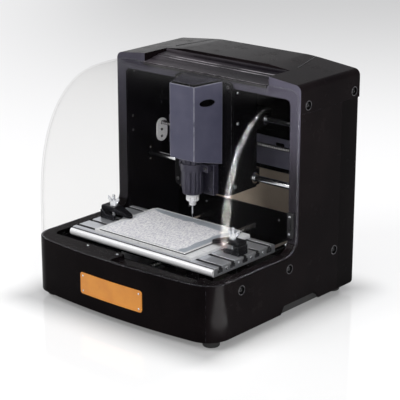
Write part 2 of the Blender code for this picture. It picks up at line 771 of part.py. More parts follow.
def table_top(aluminium):
    """The extruded table: round front and rear lips and T-slots along X."""
    lip = TABLE_LIP_RADIUS
    points = [(TABLE_FRONT, TABLE_BOTTOM), (TABLE_BACK, TABLE_BOTTOM)]
    points += arc(TABLE_BACK - lip, TABLE_TOP - lip, lip, 0, 90, 3)
    for i in range(SLOT_COUNT):
        y = SLOT_CENTRE_Y + ((SLOT_COUNT - 1) / 2 - i) * SLOT_PITCH
        near = SLOT_WIDTH / 2
        far = SLOT_CHAMBER / 2
        points += [(y + near, TABLE_TOP), (y + near, TABLE_TOP - SLOT_LIP)]
        points += [(y + far, TABLE_TOP - SLOT_LIP), (y + far, TABLE_TOP - SLOT_DEPTH)]
        points += [(y - far, TABLE_TOP - SLOT_DEPTH), (y - far, TABLE_TOP - SLOT_LIP)]
        points += [(y - near, TABLE_TOP - SLOT_LIP), (y - near, TABLE_TOP)]
    points += arc(TABLE_FRONT + lip, TABLE_TOP - lip, lip, 90, 180, 3)
    table = prism(points, -TABLE_LENGTH / 2, TABLE_LENGTH / 2, "X")
    return finish(table, "table", aluminium)


def table_saddle(black):
    """The plate under the table with a bearing block for each end of each rod."""
    width, length, _ = SADDLE_BLOCK
    top = TABLE_BOTTOM - GAP
    bottom = top - SADDLE_THICK
    front = TABLE_FRONT + SADDLE_MARGIN
    back = TABLE_BACK - SADDLE_MARGIN
    half = TABLE_ROD_X + width / 2
    saddle = box((-half, front, bottom), (half, back, top))
    low = TABLE_ROD_Z - SADDLE_BLOCK[2] / 2
    for x in (-TABLE_ROD_X, TABLE_ROD_X):
        for y in (front, back - length):
            block = box((x - width / 2, y, low), (x + width / 2, y + length, bottom + 0.001))
            join(saddle, block)
        bore = rod("Y", (x, TABLE_ROD_Z), TABLE_ROD_RADIUS + GAP, front - 0.01, back + 0.01, 20)
        cut(saddle, bore)
    y = SLOT_CENTRE_Y
    join(saddle, box((-0.016, y - 0.012, low), (0.016, y + 0.012, bottom + 0.001)))
    cut(saddle, rod("Y", (0, TABLE_ROD_Z), X_NUT_RADIUS + GAP, y - 0.02, y + 0.02, 20))
    return finish(saddle, "table_saddle", black)


def table_nut(brass):
    y = SLOT_CENTRE_Y
    nut = rod("Y", (0, TABLE_ROD_Z), X_NUT_RADIUS, y - 0.012, y + 0.012, 20)
    cut(nut, rod("Y", (0, TABLE_ROD_Z), TABLE_SCREW_RADIUS + GAP, y - 0.02, y + 0.02, 20))
    return finish(nut, "table_screw_nut", brass, smooth=True)


def flat_board(name, size, x, low_z, radius, material):
    low = (x - size[0] / 2, SLOT_CENTRE_Y - size[1] / 2)
    high = (x + size[0] / 2, SLOT_CENTRE_Y + size[1] / 2)
    board = prism(rounded(low, high, radius, 2), low_z, low_z + size[2], "Z")
    return finish(board, name, material)


def clamp(side, name, black):
    """A step clamp: heel on the table, toe on the work, bolt hole between them."""
    board_edge = BOARD_SIZE[0] / 2 + 0.0025
    work_edge = WORK_SIZE[0] / 2 + 0.0045
    toe = WORK_SIZE[0] / 2 - CLAMP_TOE
    heel = CLAMP_X + CLAMP_HEEL
    on_table = TABLE_TOP + GAP
    over_board = BOARD_TOP + 2 * GAP
    on_work = WORK_TOP + GAP
    outline = [(heel, on_table), (board_edge, on_table), (board_edge, over_board)]
    outline += [(work_edge, over_board), (work_edge, on_work), (toe, on_work)]
    outline += [(toe, on_work + 0.005), (CLAMP_X - 0.015, CLAMP_TOP)]
    outline += [(CLAMP_X + 0.010, CLAMP_TOP), (heel, CLAMP_TOP - 0.012)]
    outline = [(side * x, z) for x, z in outline]
    y = SLOT_CENTRE_Y
    body = prism(outline, y - CLAMP_WIDTH / 2, y + CLAMP_WIDTH / 2, "Y")
    hole = rod("Z", (side * CLAMP_X, y), BOLT_RADIUS + GAP, on_table - 0.01, CLAMP_TOP + 0.01, 16)
    cut(body, hole)
    return finish(body, name, black)


def clamp_bolt(side, name, steel):
    x = side * CLAMP_X
    y = SLOT_CENTRE_Y
    half = BOLT_HEAD / 2
    top = TABLE_TOP - SLOT_LIP - GAP
    head = box((x - half, y - half, TABLE_TOP - SLOT_DEPTH + 0.0008), (x + half, y + half, top))
    join(head, rod("Z", (x, y), BOLT_RADIUS, top - 0.001, BOLT_TOP, 16))
    return finish(head, name, steel)


def wing_nut(side, name, chrome):
    x = side * CLAMP_X
    y = SLOT_CENTRE_Y
    low = CLAMP_TOP + GAP
    hub = rod("Z", (x, y), WING_HUB_RADIUS, low, low + WING_HUB_HEIGHT, 20)
    half = WING_THICK / 2
    top = low + WING_HUB_HEIGHT + WING_RISE
    inner = WING_HUB_RADIUS - 0.002
    for way in (-1, 1):
        outline = [(x + way * inner, low + 0.002), (x + way * WING_SPAN, low + WING_HUB_HEIGHT)]
        outline += [(x + way * WING_SPAN, top), (x + way * (WING_SPAN - 0.006), top)]
        outline += [(x + way * inner, low + WING_HUB_HEIGHT - 0.001)]
        join(hub, prism(outline, y - half, y + half, "Y"))
    cut(hub, rod("Z", (x, y), BOLT_RADIUS + GAP, low - 0.01, top + 0.01, 16))
    return finish(hub, name, chrome)


# ---------------------------------------------------------------- X axis


def x_rods(chrome):
    half = PLATE_OUTER - 0.0005
    for name, centre in (("x_rod_upper", X_UPPER_ROD), ("x_rod_lower", X_LOWER_ROD)):
        finish(rod("X", centre, X_ROD_RADIUS, -half, half), name, chrome, smooth=True)


def x_bearing_plate(chrome):
    """The oval plate on the left inner wall that carries the free end of the X screw."""
    y, screw_z = X_SCREW
    centre_z = screw_z - 0.0145
    half = BEARING_PLATE_WIDTH / 2
    straight = BEARING_PLATE_HEIGHT / 2 - half
    outline = arc(y, centre_z + straight, half, 0, 180, 10)
    outline += arc(y, centre_z - straight, half, 180, 360, 10)
    low = -PLATE_INNER + GAP
    high = low + BEARING_PLATE_THICK
    plate = prism(outline, low, high, "X")
    cut(plate, rod("X", X_SCREW, X_SCREW_RADIUS + GAP, low - 0.01, high + 0.01, 16))
    for step in (1, 2):
        centre = (y, screw_z - 0.0145 * step)
        cut(plate, rod("X", centre, 0.0025, low - 0.01, high + 0.01, 12))
    return finish(plate, "x_bearing_plate", chrome)


def x_screw(steel):
    low = -PLATE_INNER + 2 * GAP
    high = MOTOR_FACE_X - COUPLING_LENGTH - GAP
    return finish(rod("X", X_SCREW, X_SCREW_RADIUS, low, high, 20), "x_screw", steel, smooth=True)


def x_coupling(black):
    high = MOTOR_FACE_X - GAP
    piece = rod("X", X_SCREW, COUPLING_RADIUS, high - COUPLING_LENGTH + GAP, high)
    return finish(piece, "x_coupling", black, smooth=True)


def x_carriage(black):
    """An open-fronted box with bearing blocks behind it for both rods and the nut."""
    low_x = HEAD_X - CARRIAGE_HALF
    high_x = HEAD_X + CARRIAGE_HALF
    front = FRONT_PLATE_BACK + GAP
    wall = CARRIAGE_WALL
    body = box((low_x, front, CARRIAGE_BOTTOM), (high_x, CARRIAGE_BACK, CARRIAGE_TOP))
    half = BEARING_BLOCK_HALF
    for y, z in (X_UPPER_ROD, X_LOWER_ROD):
        low = (low_x, CARRIAGE_BACK - 0.010, z - half)
        join(body, box(low, (high_x, y + half, z + half)))
    y, z = X_SCREW
    reach = X_NUT_RADIUS + X_NUT_WALL
    low = (HEAD_X - X_NUT_LENGTH / 2, CARRIAGE_BACK - 0.001, z - reach)
    join(body, box(low, (HEAD_X + X_NUT_LENGTH / 2, y + reach, z + reach)))
    inner_low = (low_x + wall, front - 0.01, CARRIAGE_BOTTOM + 0.035)
    inner_high = (high_x - wall, CARRIAGE_BACK - wall, Z_SHELF_BOTTOM)
    cut(body, box(inner_low, inner_high))
    shelf_top = Z_SHELF_BOTTOM + Z_SHELF_THICK
    inner_low = (low_x + wall, front - 0.01, shelf_top)
    cut(body, box(inner_low, (high_x - wall, CARRIAGE_BACK - wall, CARRIAGE_TOP + 0.01)))
    floor_low = (low_x + wall, front - 0.01, CARRIAGE_BOTTOM + wall)
    cut(body, box(floor_low, (high_x - wall, X_LOWER_ROD[0] - half, CARRIAGE_BOTTOM + 0.036)))
    ends = (low_x - 0.01, high_x + 0.01)
    for centre in (X_UPPER_ROD, X_LOWER_ROD):
        cut(body, rod("X", centre, X_ROD_RADIUS + GAP, ends[0], ends[1], 20))
    cut(body, rod("X", X_SCREW, X_NUT_RADIUS + GAP, ends[0], ends[1], 20))
    bore_ends = (CARRIAGE_BOTTOM - 0.01, shelf_top + 0.001)
    cut(body, rod("Z", (HEAD_X, Z_SCREW_Y), Z_SCREW_RADIUS + GAP, bore_ends[0], bore_ends[1], 16))
    return finish(body, "x_carriage", black)


def x_nut(brass):
    ends = (HEAD_X - X_NUT_LENGTH / 2, HEAD_X + X_NUT_LENGTH / 2)
    nut = rod("X", X_SCREW, X_NUT_RADIUS, ends[0], ends[1], 20)
    cut(nut, rod("X", X_SCREW, X_SCREW_RADIUS + GAP, ends[0] - 0.01, ends[1] + 0.01, 20))
    return finish(nut, "x_screw_nut", brass, smooth=True)


# ---------------------------------------------------------------- head


def front_plate(black):
    low = (HEAD_X - FRONT_PLATE_HALF, FRONT_PLATE_BOTTOM)
    high = (HEAD_X + FRONT_PLATE_HALF, FRONT_PLATE_TOP)
    outline = rounded(low, high, FRONT_PLATE_RADIUS, 5)
    plate = prism(outline, FRONT_PLATE_FRONT, FRONT_PLATE_BACK, "Y")
    slot_low = (HEAD_X - ARM_SLOT_HALF, ARM_SLOT_BOTTOM)
    slot_high = (HEAD_X + ARM_SLOT_HALF, ARM_SLOT_TOP)
    slot = rounded(slot_low, slot_high, 0.004, 2)
    cut(plate, prism(slot, FRONT_PLATE_FRONT - 0.01, FRONT_PLATE_BACK + 0.01, "Y"))
    return finish(plate, "carriage_front_plate", black)


def cover_plan(inset, back):
    """The head cover from above: narrow in front, its sides spreading to the rear."""
    front = back - HEAD_COVER_DEPTH
    spread = (HEAD_COVER_BACK_HALF - HEAD_COVER_FRONT_HALF) / HEAD_COVER_DEPTH
    side_inset = inset * math.sqrt(1 + spread**2)
    rear = back + (0.01 if inset else 0.0)
    front_half = HEAD_COVER_FRONT_HALF + spread * inset - side_inset
    rear_half = HEAD_COVER_FRONT_HALF + spread * (rear - front) - side_inset
    points = [(HEAD_X - front_half, front + inset), (HEAD_X + front_half, front + inset)]
    return points + [(HEAD_X + rear_half, rear), (HEAD_X - rear_half, rear)]


def ellipse(cx, cy, half_a, half_b, steps=20):
    points = []
    for i in range(steps):
        angle = 2 * math.pi * i / steps
        points.append((cx + half_a * math.cos(angle), cy + half_b * math.sin(angle)))
    return points


def head_cover(lavender):
    back = FRONT_PLATE_FRONT - GAP
    front = back - HEAD_COVER_DEPTH
    cover = prism(cover_plan(0, back), HEAD_COVER_REAR_BOTTOM, HEAD_COVER_TOP, "Z")
    chamfer = HEAD_COVER_CHAMFER
    side = [(front, HEAD_COVER_BOTTOM), (back + 0.001, HEAD_COVER_REAR_BOTTOM)]
    side += [(back + 0.001, HEAD_COVER_TOP), (front + chamfer, HEAD_COVER_TOP)]
    side += [(front, HEAD_COVER_TOP - chamfer)]
    keep(cover, prism(side, HEAD_X - 0.1, HEAD_X + 0.1, "X"))
    top = HEAD_COVER_TOP - HEAD_COVER_WALL
    cut(cover, prism(cover_plan(HEAD_COVER_WALL, back), HEAD_COVER_REAR_BOTTOM - 0.01, top, "Z"))
    vent = ellipse((front + back) / 2 - 0.002, VENT_Z, VENT_HALF_LENGTH / 1.05, VENT_HALF_HEIGHT)
    cut(cover, prism(vent, HEAD_X - 0.1, HEAD_X + 0.1, "X"))
    slot = rounded((HEAD_X - 0.040, back - 0.011), (HEAD_X - 0.006, back - 0.004), 0.002, 2)
    cut(cover, prism(slot, top - 0.01, HEAD_COVER_TOP + 0.01, "Z"))
    return finish(cover, "head_cover", lavender)


def z_rails(chrome):
    high = FRONT_PLATE_FRONT - GAP
    for name, side in (("z_rail_left", -1), ("z_rail_right", 1)):
        x = HEAD_X + side * RAIL_X
        low = (x - RAIL_WIDTH / 2, high - RAIL_DEPTH, SLIDE_BOTTOM + 0.002)
        rail = box(low, (x + RAIL_WIDTH / 2, high, HEAD_COVER_TOP - 0.010))
        finish(rail, name, chrome)


def z_slide(violet):
    low = (HEAD_X - SLIDE_HALF, SLIDE_FRONT, SLIDE_BOTTOM)
    body = box(low, (HEAD_X + SLIDE_HALF, SLIDE_BACK, SLIDE_TOP))
    bore = SPINDLE_RADIUS + GAP
    centre = (HEAD_X, SPINDLE_Y)
    cut(body, rod("Z", centre, bore, SLIDE_BOTTOM - 0.01, SLIDE_TOP + 0.01, 32))
    rail_front = FRONT_PLATE_FRONT - GAP - RAIL_DEPTH
    half = RAIL_WIDTH / 2 + GAP
    for side in (-1, 1):
        x = HEAD_X + side * RAIL_X
        low = (x - half, rail_front - GAP, SLIDE_BOTTOM - 0.01)
        cut(body, box(low, (x + half, SLIDE_BACK + 0.01, SLIDE_TOP + 0.01)))
    low = (HEAD_X - ARM_HALF, SLIDE_BACK - 0.001, ARM_BOTTOM)
    join(body, box(low, (HEAD_X + ARM_HALF, Z_SCREW_Y - Z_NUT_RADIUS, ARM_TOP)))
    ring = rod("Z", (HEAD_X, Z_SCREW_Y), Z_NUT_RADIUS + 0.005, ARM_BOTTOM, ARM_TOP)
    join(body, ring)
    hole = (ARM_BOTTOM - 0.01, ARM_TOP + 0.01)
    cut(body, rod("Z", (HEAD_X, Z_SCREW_Y), Z_NUT_RADIUS + GAP, hole[0], hole[1]))
    return finish(body, "z_slide", violet)


def z_nut(brass):
    middle = (ARM_BOTTOM + ARM_TOP) / 2
    ends = (middle - Z_NUT_LENGTH / 2, middle + Z_NUT_LENGTH / 2)
    centre = (HEAD_X, Z_SCREW_Y)
    nut = rod("Z", centre, Z_NUT_RADIUS, ends[0], ends[1], 20)
    cut(nut, rod("Z", centre, Z_SCREW_RADIUS + GAP, ends[0] - 0.01, ends[1] + 0.01, 20))
    return finish(nut, "z_screw_nut", brass, smooth=True)


def z_screw(steel):
    high = Z_SHELF_BOTTOM + Z_SHELF_THICK
    piece = rod("Z", (HEAD_X, Z_SCREW_Y), Z_SCREW_RADIUS, CARRIAGE_BOTTOM + 0.001, high, 20)
    return finish(piece, "z_screw", steel, smooth=True)


def spindle_body(violet):
    """A ribbed round motor body with a bore below for its shaft."""
    steps = 4 * SPINDLE_RIBS
    points = []
    for i in range(steps):
        angle = 2 * math.pi * i / steps
        radius = SPINDLE_RADIUS - (SPINDLE_RIB_DEPTH if i % 4 < 2 else 0.0)
        x = HEAD_X + radius * math.cos(angle)
        points.append((x, SPINDLE_Y + radius * math.sin(angle)))
    body = prism(points, SPINDLE_BOTTOM, SPINDLE_TOP, "Z")
    centre = (HEAD_X, SPINDLE_Y)
    cut(body, rod("Z", centre, SHAFT_RADIUS + GAP, SPINDLE_BOTTOM - 0.01, SHAFT_TOP + GAP))
    return finish(body, "spindle_body", violet)


def spindle_clamp(violet):
    low = CLAMP_RING_BOTTOM
    high = low + CLAMP_RING_HEIGHT
    centre = (HEAD_X, SPINDLE_Y)
    ring = rod("Z", centre, CLAMP_RING_RADIUS, low, high, 32)
    corner = (HEAD_X - CLAMP_RING_HALF, SPINDLE_Y + 0.002, low)
    join(ring, box(corner, (HEAD_X + CLAMP_RING_HALF, SLIDE_FRONT + 0.001, high)))
    corner = (HEAD_X - 0.1, SLIDE_FRONT - GAP, low - 0.01)
    cut(ring, box(corner, (HEAD_X + 0.1, SLIDE_FRONT + 0.1, high + 0.01)))
    cut(ring, rod("Z", centre, SPINDLE_RADIUS + GAP, low - 0.01, high + 0.01, 32))
    return finish(ring, "spindle_clamp", violet)


def spindle_parts(steel, chrome):
    centre = (HEAD_X, SPINDLE_Y)
    bottom = NUT_SHOULDER + 0.002
    shaft = rod("Z", centre, SHAFT_RADIUS, bottom, SHAFT_TOP)
    finish(shaft, "spindle_shaft", steel, smooth=True)
    bore = SHAFT_RADIUS + GAP
    small = CUTTER_RADIUS + GAP
    profile = [(bore, NUT_TOP), (bore, bottom - GAP), (small, bottom - GAP), (small, NUT_BOTTOM)]
    profile += [(NUT_NECK_RADIUS, NUT_BOTTOM), (NUT_NECK_RADIUS, NUT_NECK)]
    profile += [(NUT_RADIUS - 0.001, NUT_SHOULDER), (NUT_RADIUS, NUT_SHOULDER + 0.001)]
    profile += [(NUT_RADIUS, NUT_TOP)]
    nut = finish(turned(profile, centre, 24), "collet_nut", chrome, smooth=True)
    cutter = rod("Z", centre, CUTTER_RADIUS, CUTTER_TIP, bottom - 2 * GAP, 16)
    finish(cutter, "cutter", steel, smooth=True)
    return shaft, nut, cutter


# ---------------------------------------------------------------- hood


def hood_grid():
    """Rows of points up the hood: the base outline, drawn back to the portal as it rises."""
    rows = []
    back = PORTAL_FRONT - HOOD_GAP
    outline = plan_outline(HOOD_INSET, back)
    half = HALF - HOOD_INSET
    radius = HOOD_EDGE_RADIUS
    levels = [(1.0, RIM_TOP + GAP)]
    rise = HOOD_TOP - HOOD_SPRING
    steps = 12
    for i in range(steps + 1):
        angle = math.pi / 2 * i / steps
        depth = math.cos(angle) ** (2 / HOOD_POWER) if i < steps else 0.0
        height = HOOD_SPRING + rise * math.sin(angle) ** (2 / HOOD_POWER)
        levels.append((depth, height))
    for depth, height in levels:
        over = max(0.0, height - (HOOD_TOP - radius))
        narrow = radius - math.sqrt(max(0.0, radius**2 - over**2))
        scale = (half - narrow) / half
        row = [(x * scale, back + (y - back) * depth, height) for x, y in outline]
        rows.append(row)
    return rows


def hood(clear):
    rows = hood_grid()
    bm = bmesh.new()
    grid = [[bm.verts.new(point) for point in row] for row in rows]
    for lower, upper in zip(grid, grid[1:]):
        for i in range(len(lower) - 1):
            bm.faces.new((lower[i], lower[i + 1], upper[i + 1], upper[i]))
    bmesh.ops.remove_doubles(bm, verts=bm.verts, dist=0.00001)
    shell = object_from(bm, "hood")
    centre_face = shell.data.polygons[0]
    if centre_face.normal.y > 0:
        shell.data.flip_normals()
    solid = shell.modifiers.new("wall", "SOLIDIFY")
    solid.thickness = HOOD_WALL
    solid.offset = -1
    solid.use_even_offset = True
    solid.use_quality_normals = True
    graph = bpy.context.evaluated_depsgraph_get()
    mesh = bpy.data.meshes.new_from_object(shell.evaluated_get(graph))
    shell.modifiers.clear()
    shell.data = mesh
    # The side panels' lower rear corners follow the fillet between rim and post.
    fillet = RIM_FILLET
    near = fillet - HOOD_GAP
    heel = [(PORTAL_FRONT + 0.01, RIM_TOP - 0.01), (PORTAL_FRONT + 0.01, RIM_TOP + fillet)]
    heel += arc(PORTAL_FRONT - fillet, RIM_TOP + fillet, near, 0, -90, 8)
    heel.append((PORTAL_FRONT - fillet, RIM_TOP - 0.01))
    cut(shell, prism(heel, -HALF - 0.01, HALF + 0.01, "X"))
    # The hinge tongue runs back over the arch to the barrel.
    start = PORTAL_FRONT - 0.012
    low = HOOD_TOP - TONGUE_THICK
    tongue = [(start, low), (HINGE_Y, HINGE_Z - 0.003), (HINGE_Y, HINGE_Z + 0.0045)]
    tongue += [(start + 0.004, HOOD_TOP - 0.0004), (start, HOOD_TOP - 0.001)]
    join(shell, prism(tongue, -TONGUE_HALF, TONGUE_HALF, "X"))
    barrel = rod("X", (HINGE_Y, HINGE_Z), HINGE_RADIUS, -TONGUE_HALF, TONGUE_HALF, 20)
    join(shell, barrel)
    reach = TONGUE_HALF + 0.01
    cut(shell, rod("X", (HINGE_Y, HINGE_Z), HINGE_PIN_RADIUS + GAP, -reach, reach, 20))
    return finish(shell, "hood", clear)


def hinge_pin(steel):
    reach = RECESS_HALF + HINGE_PIN_IN_EAR
    pin = rod("X", (HINGE_Y, HINGE_Z), HINGE_PIN_RADIUS, -reach, reach, 20)
    return finish(pin, "hinge_pin", steel, smooth=True)


# ---------------------------------------------------------------- electrics


def inlet_block(size, inset, low, high):
    half_x = size[0] / 2 - inset
    half_z = size[1] / 2 - inset
    corner = (INLET_X - half_x, low, INLET_Z - half_z)
    return box(corner, (INLET_X + half_x, high, INLET_Z + half_z))


def power_inlet(black):
    """Mains inlet with its switch frame, set into the rear cover."""
    face = BACK - 0.0005
    low = BACK - INLET_DEPTH
    body = inlet_block(INLET_SIZE, GAP, low, face)
    flange_high = BACK - SHEET - GAP
    join(body, inlet_block(INLET_SIZE, -INLET_FLANGE, flange_high - 0.0025, flange_high))
    socket_x = INLET_X - 0.009
    outline = rounded((socket_x - 0.012, INLET_Z - 0.009), (socket_x + 0.012, INLET_Z + 0.009), 0.003, 2)
    cut(body, prism(outline, face - 0.015, face + 0.01, "Y"))
    for x, z in ((-0.007, -0.002), (0.0, 0.003), (0.007, -0.002)):
        pin_low = (socket_x + x - 0.001, face - 0.016, INLET_Z + z - 0.002)
        join(body, box(pin_low, (socket_x + x + 0.001, face - 0.005, INLET_Z + z + 0.002)))
    half_x = ROCKER_SIZE[0] / 2 + 0.0005
    half_z = ROCKER_SIZE[1] / 2 + 0.001
    x = INLET_X + 0.014
    pocket = box((x - half_x, face - 0.012, INLET_Z - half_z), (x + half_x, face + 0.01, INLET_Z + half_z))
    cut(body, pocket)
    return finish(body, "power_inlet", black)


def rocker_axis():
    return (INLET_X + 0.014, BACK - 0.0060, INLET_Z)


def power_rocker(red):
    """The switch's rocker: two faces that meet in a shallow V over its pivot."""
    x, y, z = rocker_axis()
    half_x = ROCKER_SIZE[0] / 2
    half_z = ROCKER_SIZE[1] / 2
    outline = [(y - 0.003, z - 0.004), (y - 0.003, z + 0.004), (y + 0.001, z + half_z)]
    outline += [(y + 0.0050, z + half_z), (y + 0.0030, z), (y + 0.0030, z - half_z)]
    outline += [(y + 0.001, z - half_z)]
    return finish(prism(outline, x - half_x, x + half_x, "X"), "power_rocker", red)


def power_supply(steel):
    x, y = SUPPLY_CORNER
    low = (x, y, PAN_TOP + GAP)
    supply = box(low, (x + SUPPLY_SIZE[0], y + SUPPLY_SIZE[1], low[2] + SUPPLY_SIZE[2]))
    return finish(supply, "power_supply", steel)


def control_board(green):
    x, y = BOARD_CORNER
    width, length, thick = BOARD_PCB
    low = PAN_TOP + GAP + STANDOFF_HEIGHT
    board = box((x, y, low), (x + width, y + length, low + thick))
    for corner_x in (x + 0.006, x + width - 0.006):
        for corner_y in (y + 0.006, y + length - 0.006):
            join(board, rod("Z", (corner_x, corner_y), 0.003, PAN_TOP + GAP, low + 0.0005, 12))
    top = low + thick - 0.0005
    blocks = ((0.015, 0.020, 0.030, 0.030, 0.016), (0.060, 0.020, 0.030, 0.030, 0.016))
    blocks += ((0.020, 0.070, 0.040, 0.040, 0.006), (0.080, 0.070, 0.030, 0.060, 0.012))
    for dx, dy, sx, sy, sz in blocks:
        join(board, box((x + dx, y + dy, top), (x + dx + sx, y + dy + sy, top + sz)))
    return finish(board, "control_board", green)


def table_sensor(chrome):
    high = PLATE_INNER - GAP
    barrel = rod("X", (SENSOR_Y, SENSOR_Z), SENSOR_RADIUS, high - SENSOR_LENGTH, high)
    return finish(barrel, "table_home_sensor", chrome, smooth=True)


def hood_switch(black):
    high_y = PORTAL_FRONT - GAP
    low_x = OPEN_HALF + 0.002
    low = (low_x, high_y - SWITCH_SIZE[1], SWITCH_BOTTOM)
    body = box(low, (low_x + SWITCH_SIZE[0], high_y, SWITCH_BOTTOM + SWITCH_SIZE[2]))
    return finish(body, "hood_switch", black)


# ---------------------------------------------------------------- assembly


def build_covers(paint, rubber):
    front_panel(paint)
    side_cover(-1, "side_cover_left", paint)
    side_cover(1, "side_cover_right", paint)
    rear_cover(paint)
    top_cover(paint)
    feet(rubber)


def build_frame(black, chrome, beige, violet):
    base_pan(black)
    portal_plate(-1, "portal_plate_left", black)
    portal_plate(1, "portal_plate_right", black)
    front_crossmember(black)
    rear_crossmember(black)
    rear_inner_sheet(beige)
    cross_plate(violet)
    x_rods(chrome)
    x_bearing_plate(chrome)
    motor("x_motor", "X", X_SCREW, MOTOR_FACE_X, PLATE_INNER - GAP, black)
    table_front = CROSS_FRONT_Y - GAP
    motor("table_motor", "Y", (0, TABLE_ROD_Z), table_front - MOTOR_LENGTH, table_front, black)


def build_table(aluminium, black, chrome, brass, white, silver):
    screw = table_rods(chrome)
    table_axis = axis_empty("table_axis", (0, SLOT_CENTRE_Y, TABLE_ROD_Z))
    pieces = [table_top(aluminium), table_saddle(black), table_nut(brass)]
    pieces.append(flat_board("spoil_board", BOARD_SIZE, BOARD_X, TABLE_TOP + GAP, 0.003, white))
    pieces.append(flat_board("work_plate", WORK_SIZE, WORK_X, BOARD_TOP + GAP, 0.002, silver))
    ride(table_axis, *pieces)
    ride(axis_empty("table_screw_axis", (0, 0, TABLE_ROD_Z)), screw)
    for side, word in ((-1, "left"), (1, "right")):
        place = (side * CLAMP_X, SLOT_CENTRE_Y, TABLE_TOP)
        slide = axis_empty("clamp_axis_" + word, place, table_axis)
        bolt = clamp_bolt(side, "clamp_bolt_" + word, chrome)
        ride(slide, clamp(side, "clamp_" + word, black), bolt)
        spin = axis_empty("wing_nut_axis_" + word, place, slide)
        ride(spin, wing_nut(side, "wing_nut_" + word, chrome))


def build_head(black, chrome, steel, brass, violet, lavender):
    x_axis = axis_empty("x_axis", (HEAD_X, X_UPPER_ROD[0], X_UPPER_ROD[1]))
    z_axis = axis_empty("z_axis", (HEAD_X, SPINDLE_Y, SLIDE_BOTTOM), x_axis)
    spin = axis_empty("spindle_axis", (HEAD_X, SPINDLE_Y, SPINDLE_BOTTOM), z_axis)
    screw_spin = axis_empty("z_screw_axis", (HEAD_X, Z_SCREW_Y, SLIDE_BOTTOM), x_axis)
    shelf = Z_SHELF_BOTTOM + Z_SHELF_THICK + GAP
    z_motor = motor("z_motor", "Z", (HEAD_X, Z_SCREW_Y), shelf, shelf + MOTOR_LENGTH, black)
    ride(x_axis, x_carriage(black), x_nut(brass), front_plate(black), head_cover(lavender), z_motor)
    z_rails(chrome)
    ride(x_axis, bpy.data.objects["z_rail_left"], bpy.data.objects["z_rail_right"])
    ride(z_axis, z_slide(violet), z_nut(brass), spindle_body(violet), spindle_clamp(violet))
    ride(spin, *spindle_parts(steel, chrome))
    ride(screw_spin, z_screw(steel))
    ride(axis_empty("x_screw_axis", (0, *X_SCREW)), x_screw(steel), x_coupling(black))


def build_electrics(black, steel, green, chrome, red):
    power_inlet(black)
    power_supply(steel)
    control_board(green)
    table_sensor(chrome)
    hood_switch(black)
    ride(axis_empty("rocker_axis", rocker_axis()), power_rocker(red))


def main():
    clear_scene()
    paint = finish_material("black_gloss_paint", (0.018, 0.017, 0.018), 0.25)
    rubber = finish_material("rubber", (0.02, 0.02, 0.02), 0.8)
    black = finish_material("black_steel", (0.012, 0.012, 0.013), 0.45)
    chrome = finish_material("chrome", (0.75, 0.76, 0.78), 0.15, 1.0)
    steel = finish_material("steel", (0.55, 0.56, 0.58), 0.3, 1.0)
    brass = finish_material("brass", (0.70, 0.52, 0.25), 0.3, 1.0)
    aluminium = finish_material("aluminium", (0.72, 0.74, 0.77), 0.35, 1.0)
    beige = finish_material("beige_paint", (0.26, 0.21, 0.165), 0.6)
    violet = finish_material("violet_anodised", (0.075, 0.07, 0.10), 0.4)
    lavender = finish_material("lavender_paint", (0.11, 0.105, 0.145), 0.4)
    white = finish_material("white_board", (0.82, 0.83, 0.84), 0.5)
    silver = finish_material("work_metal", (0.66, 0.67, 0.70), 0.45, 0.2)
    green = finish_material("circuit_board", (0.02, 0.12, 0.05), 0.5)
    red = finish_material("rocker_plastic", (0.35, 0.02, 0.02), 0.4)
    clear = finish_material("clear_acrylic", (0.90, 0.92, 0.94), 0.03, 0.0, 0.15)
    build_covers(paint, rubber)
    build_frame(black, chrome, beige, violet)
    build_table(aluminium, black, chrome, brass, white, silver)
    build_head(black, chrome, steel, brass, violet, lavender)
    build_electrics(black, steel, green, chrome, red)
    ride(axis_empty("hood_hinge_axis", (0, HINGE_Y, HINGE_Z)), hood(clear))
    hinge_pin(steel)


main()
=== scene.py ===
"""Looks of the desktop CNC router: finishes, clear hood, spindle, threads, screws and fittings.

Every piece is in the row frame, in metres: X to the machine's right, Y to its rear, Z up.
"""

import json
import math

import bmesh
import bpy
import numpy as np
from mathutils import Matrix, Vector

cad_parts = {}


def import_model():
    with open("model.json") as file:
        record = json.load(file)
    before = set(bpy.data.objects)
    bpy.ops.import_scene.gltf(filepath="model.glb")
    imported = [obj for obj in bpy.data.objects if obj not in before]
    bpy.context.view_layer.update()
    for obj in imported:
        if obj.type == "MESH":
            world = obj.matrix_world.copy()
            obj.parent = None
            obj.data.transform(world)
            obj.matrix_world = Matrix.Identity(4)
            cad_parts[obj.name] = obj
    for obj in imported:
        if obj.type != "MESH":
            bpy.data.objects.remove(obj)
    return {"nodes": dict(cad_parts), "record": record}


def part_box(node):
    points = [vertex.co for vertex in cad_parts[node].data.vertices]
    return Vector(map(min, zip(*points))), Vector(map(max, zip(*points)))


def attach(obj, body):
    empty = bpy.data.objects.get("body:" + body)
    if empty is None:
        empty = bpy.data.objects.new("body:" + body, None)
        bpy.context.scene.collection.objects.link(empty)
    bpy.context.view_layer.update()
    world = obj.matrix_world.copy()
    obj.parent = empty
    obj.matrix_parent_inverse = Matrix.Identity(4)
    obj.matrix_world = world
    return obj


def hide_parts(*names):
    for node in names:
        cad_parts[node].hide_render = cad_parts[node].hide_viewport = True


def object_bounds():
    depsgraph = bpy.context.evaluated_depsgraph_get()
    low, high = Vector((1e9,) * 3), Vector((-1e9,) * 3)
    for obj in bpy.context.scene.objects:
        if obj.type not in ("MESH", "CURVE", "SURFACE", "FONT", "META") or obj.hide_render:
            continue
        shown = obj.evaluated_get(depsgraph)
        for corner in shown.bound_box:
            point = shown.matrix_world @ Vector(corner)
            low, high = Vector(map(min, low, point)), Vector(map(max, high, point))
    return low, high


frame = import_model()
CAD_BOX = [list(corner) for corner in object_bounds()]

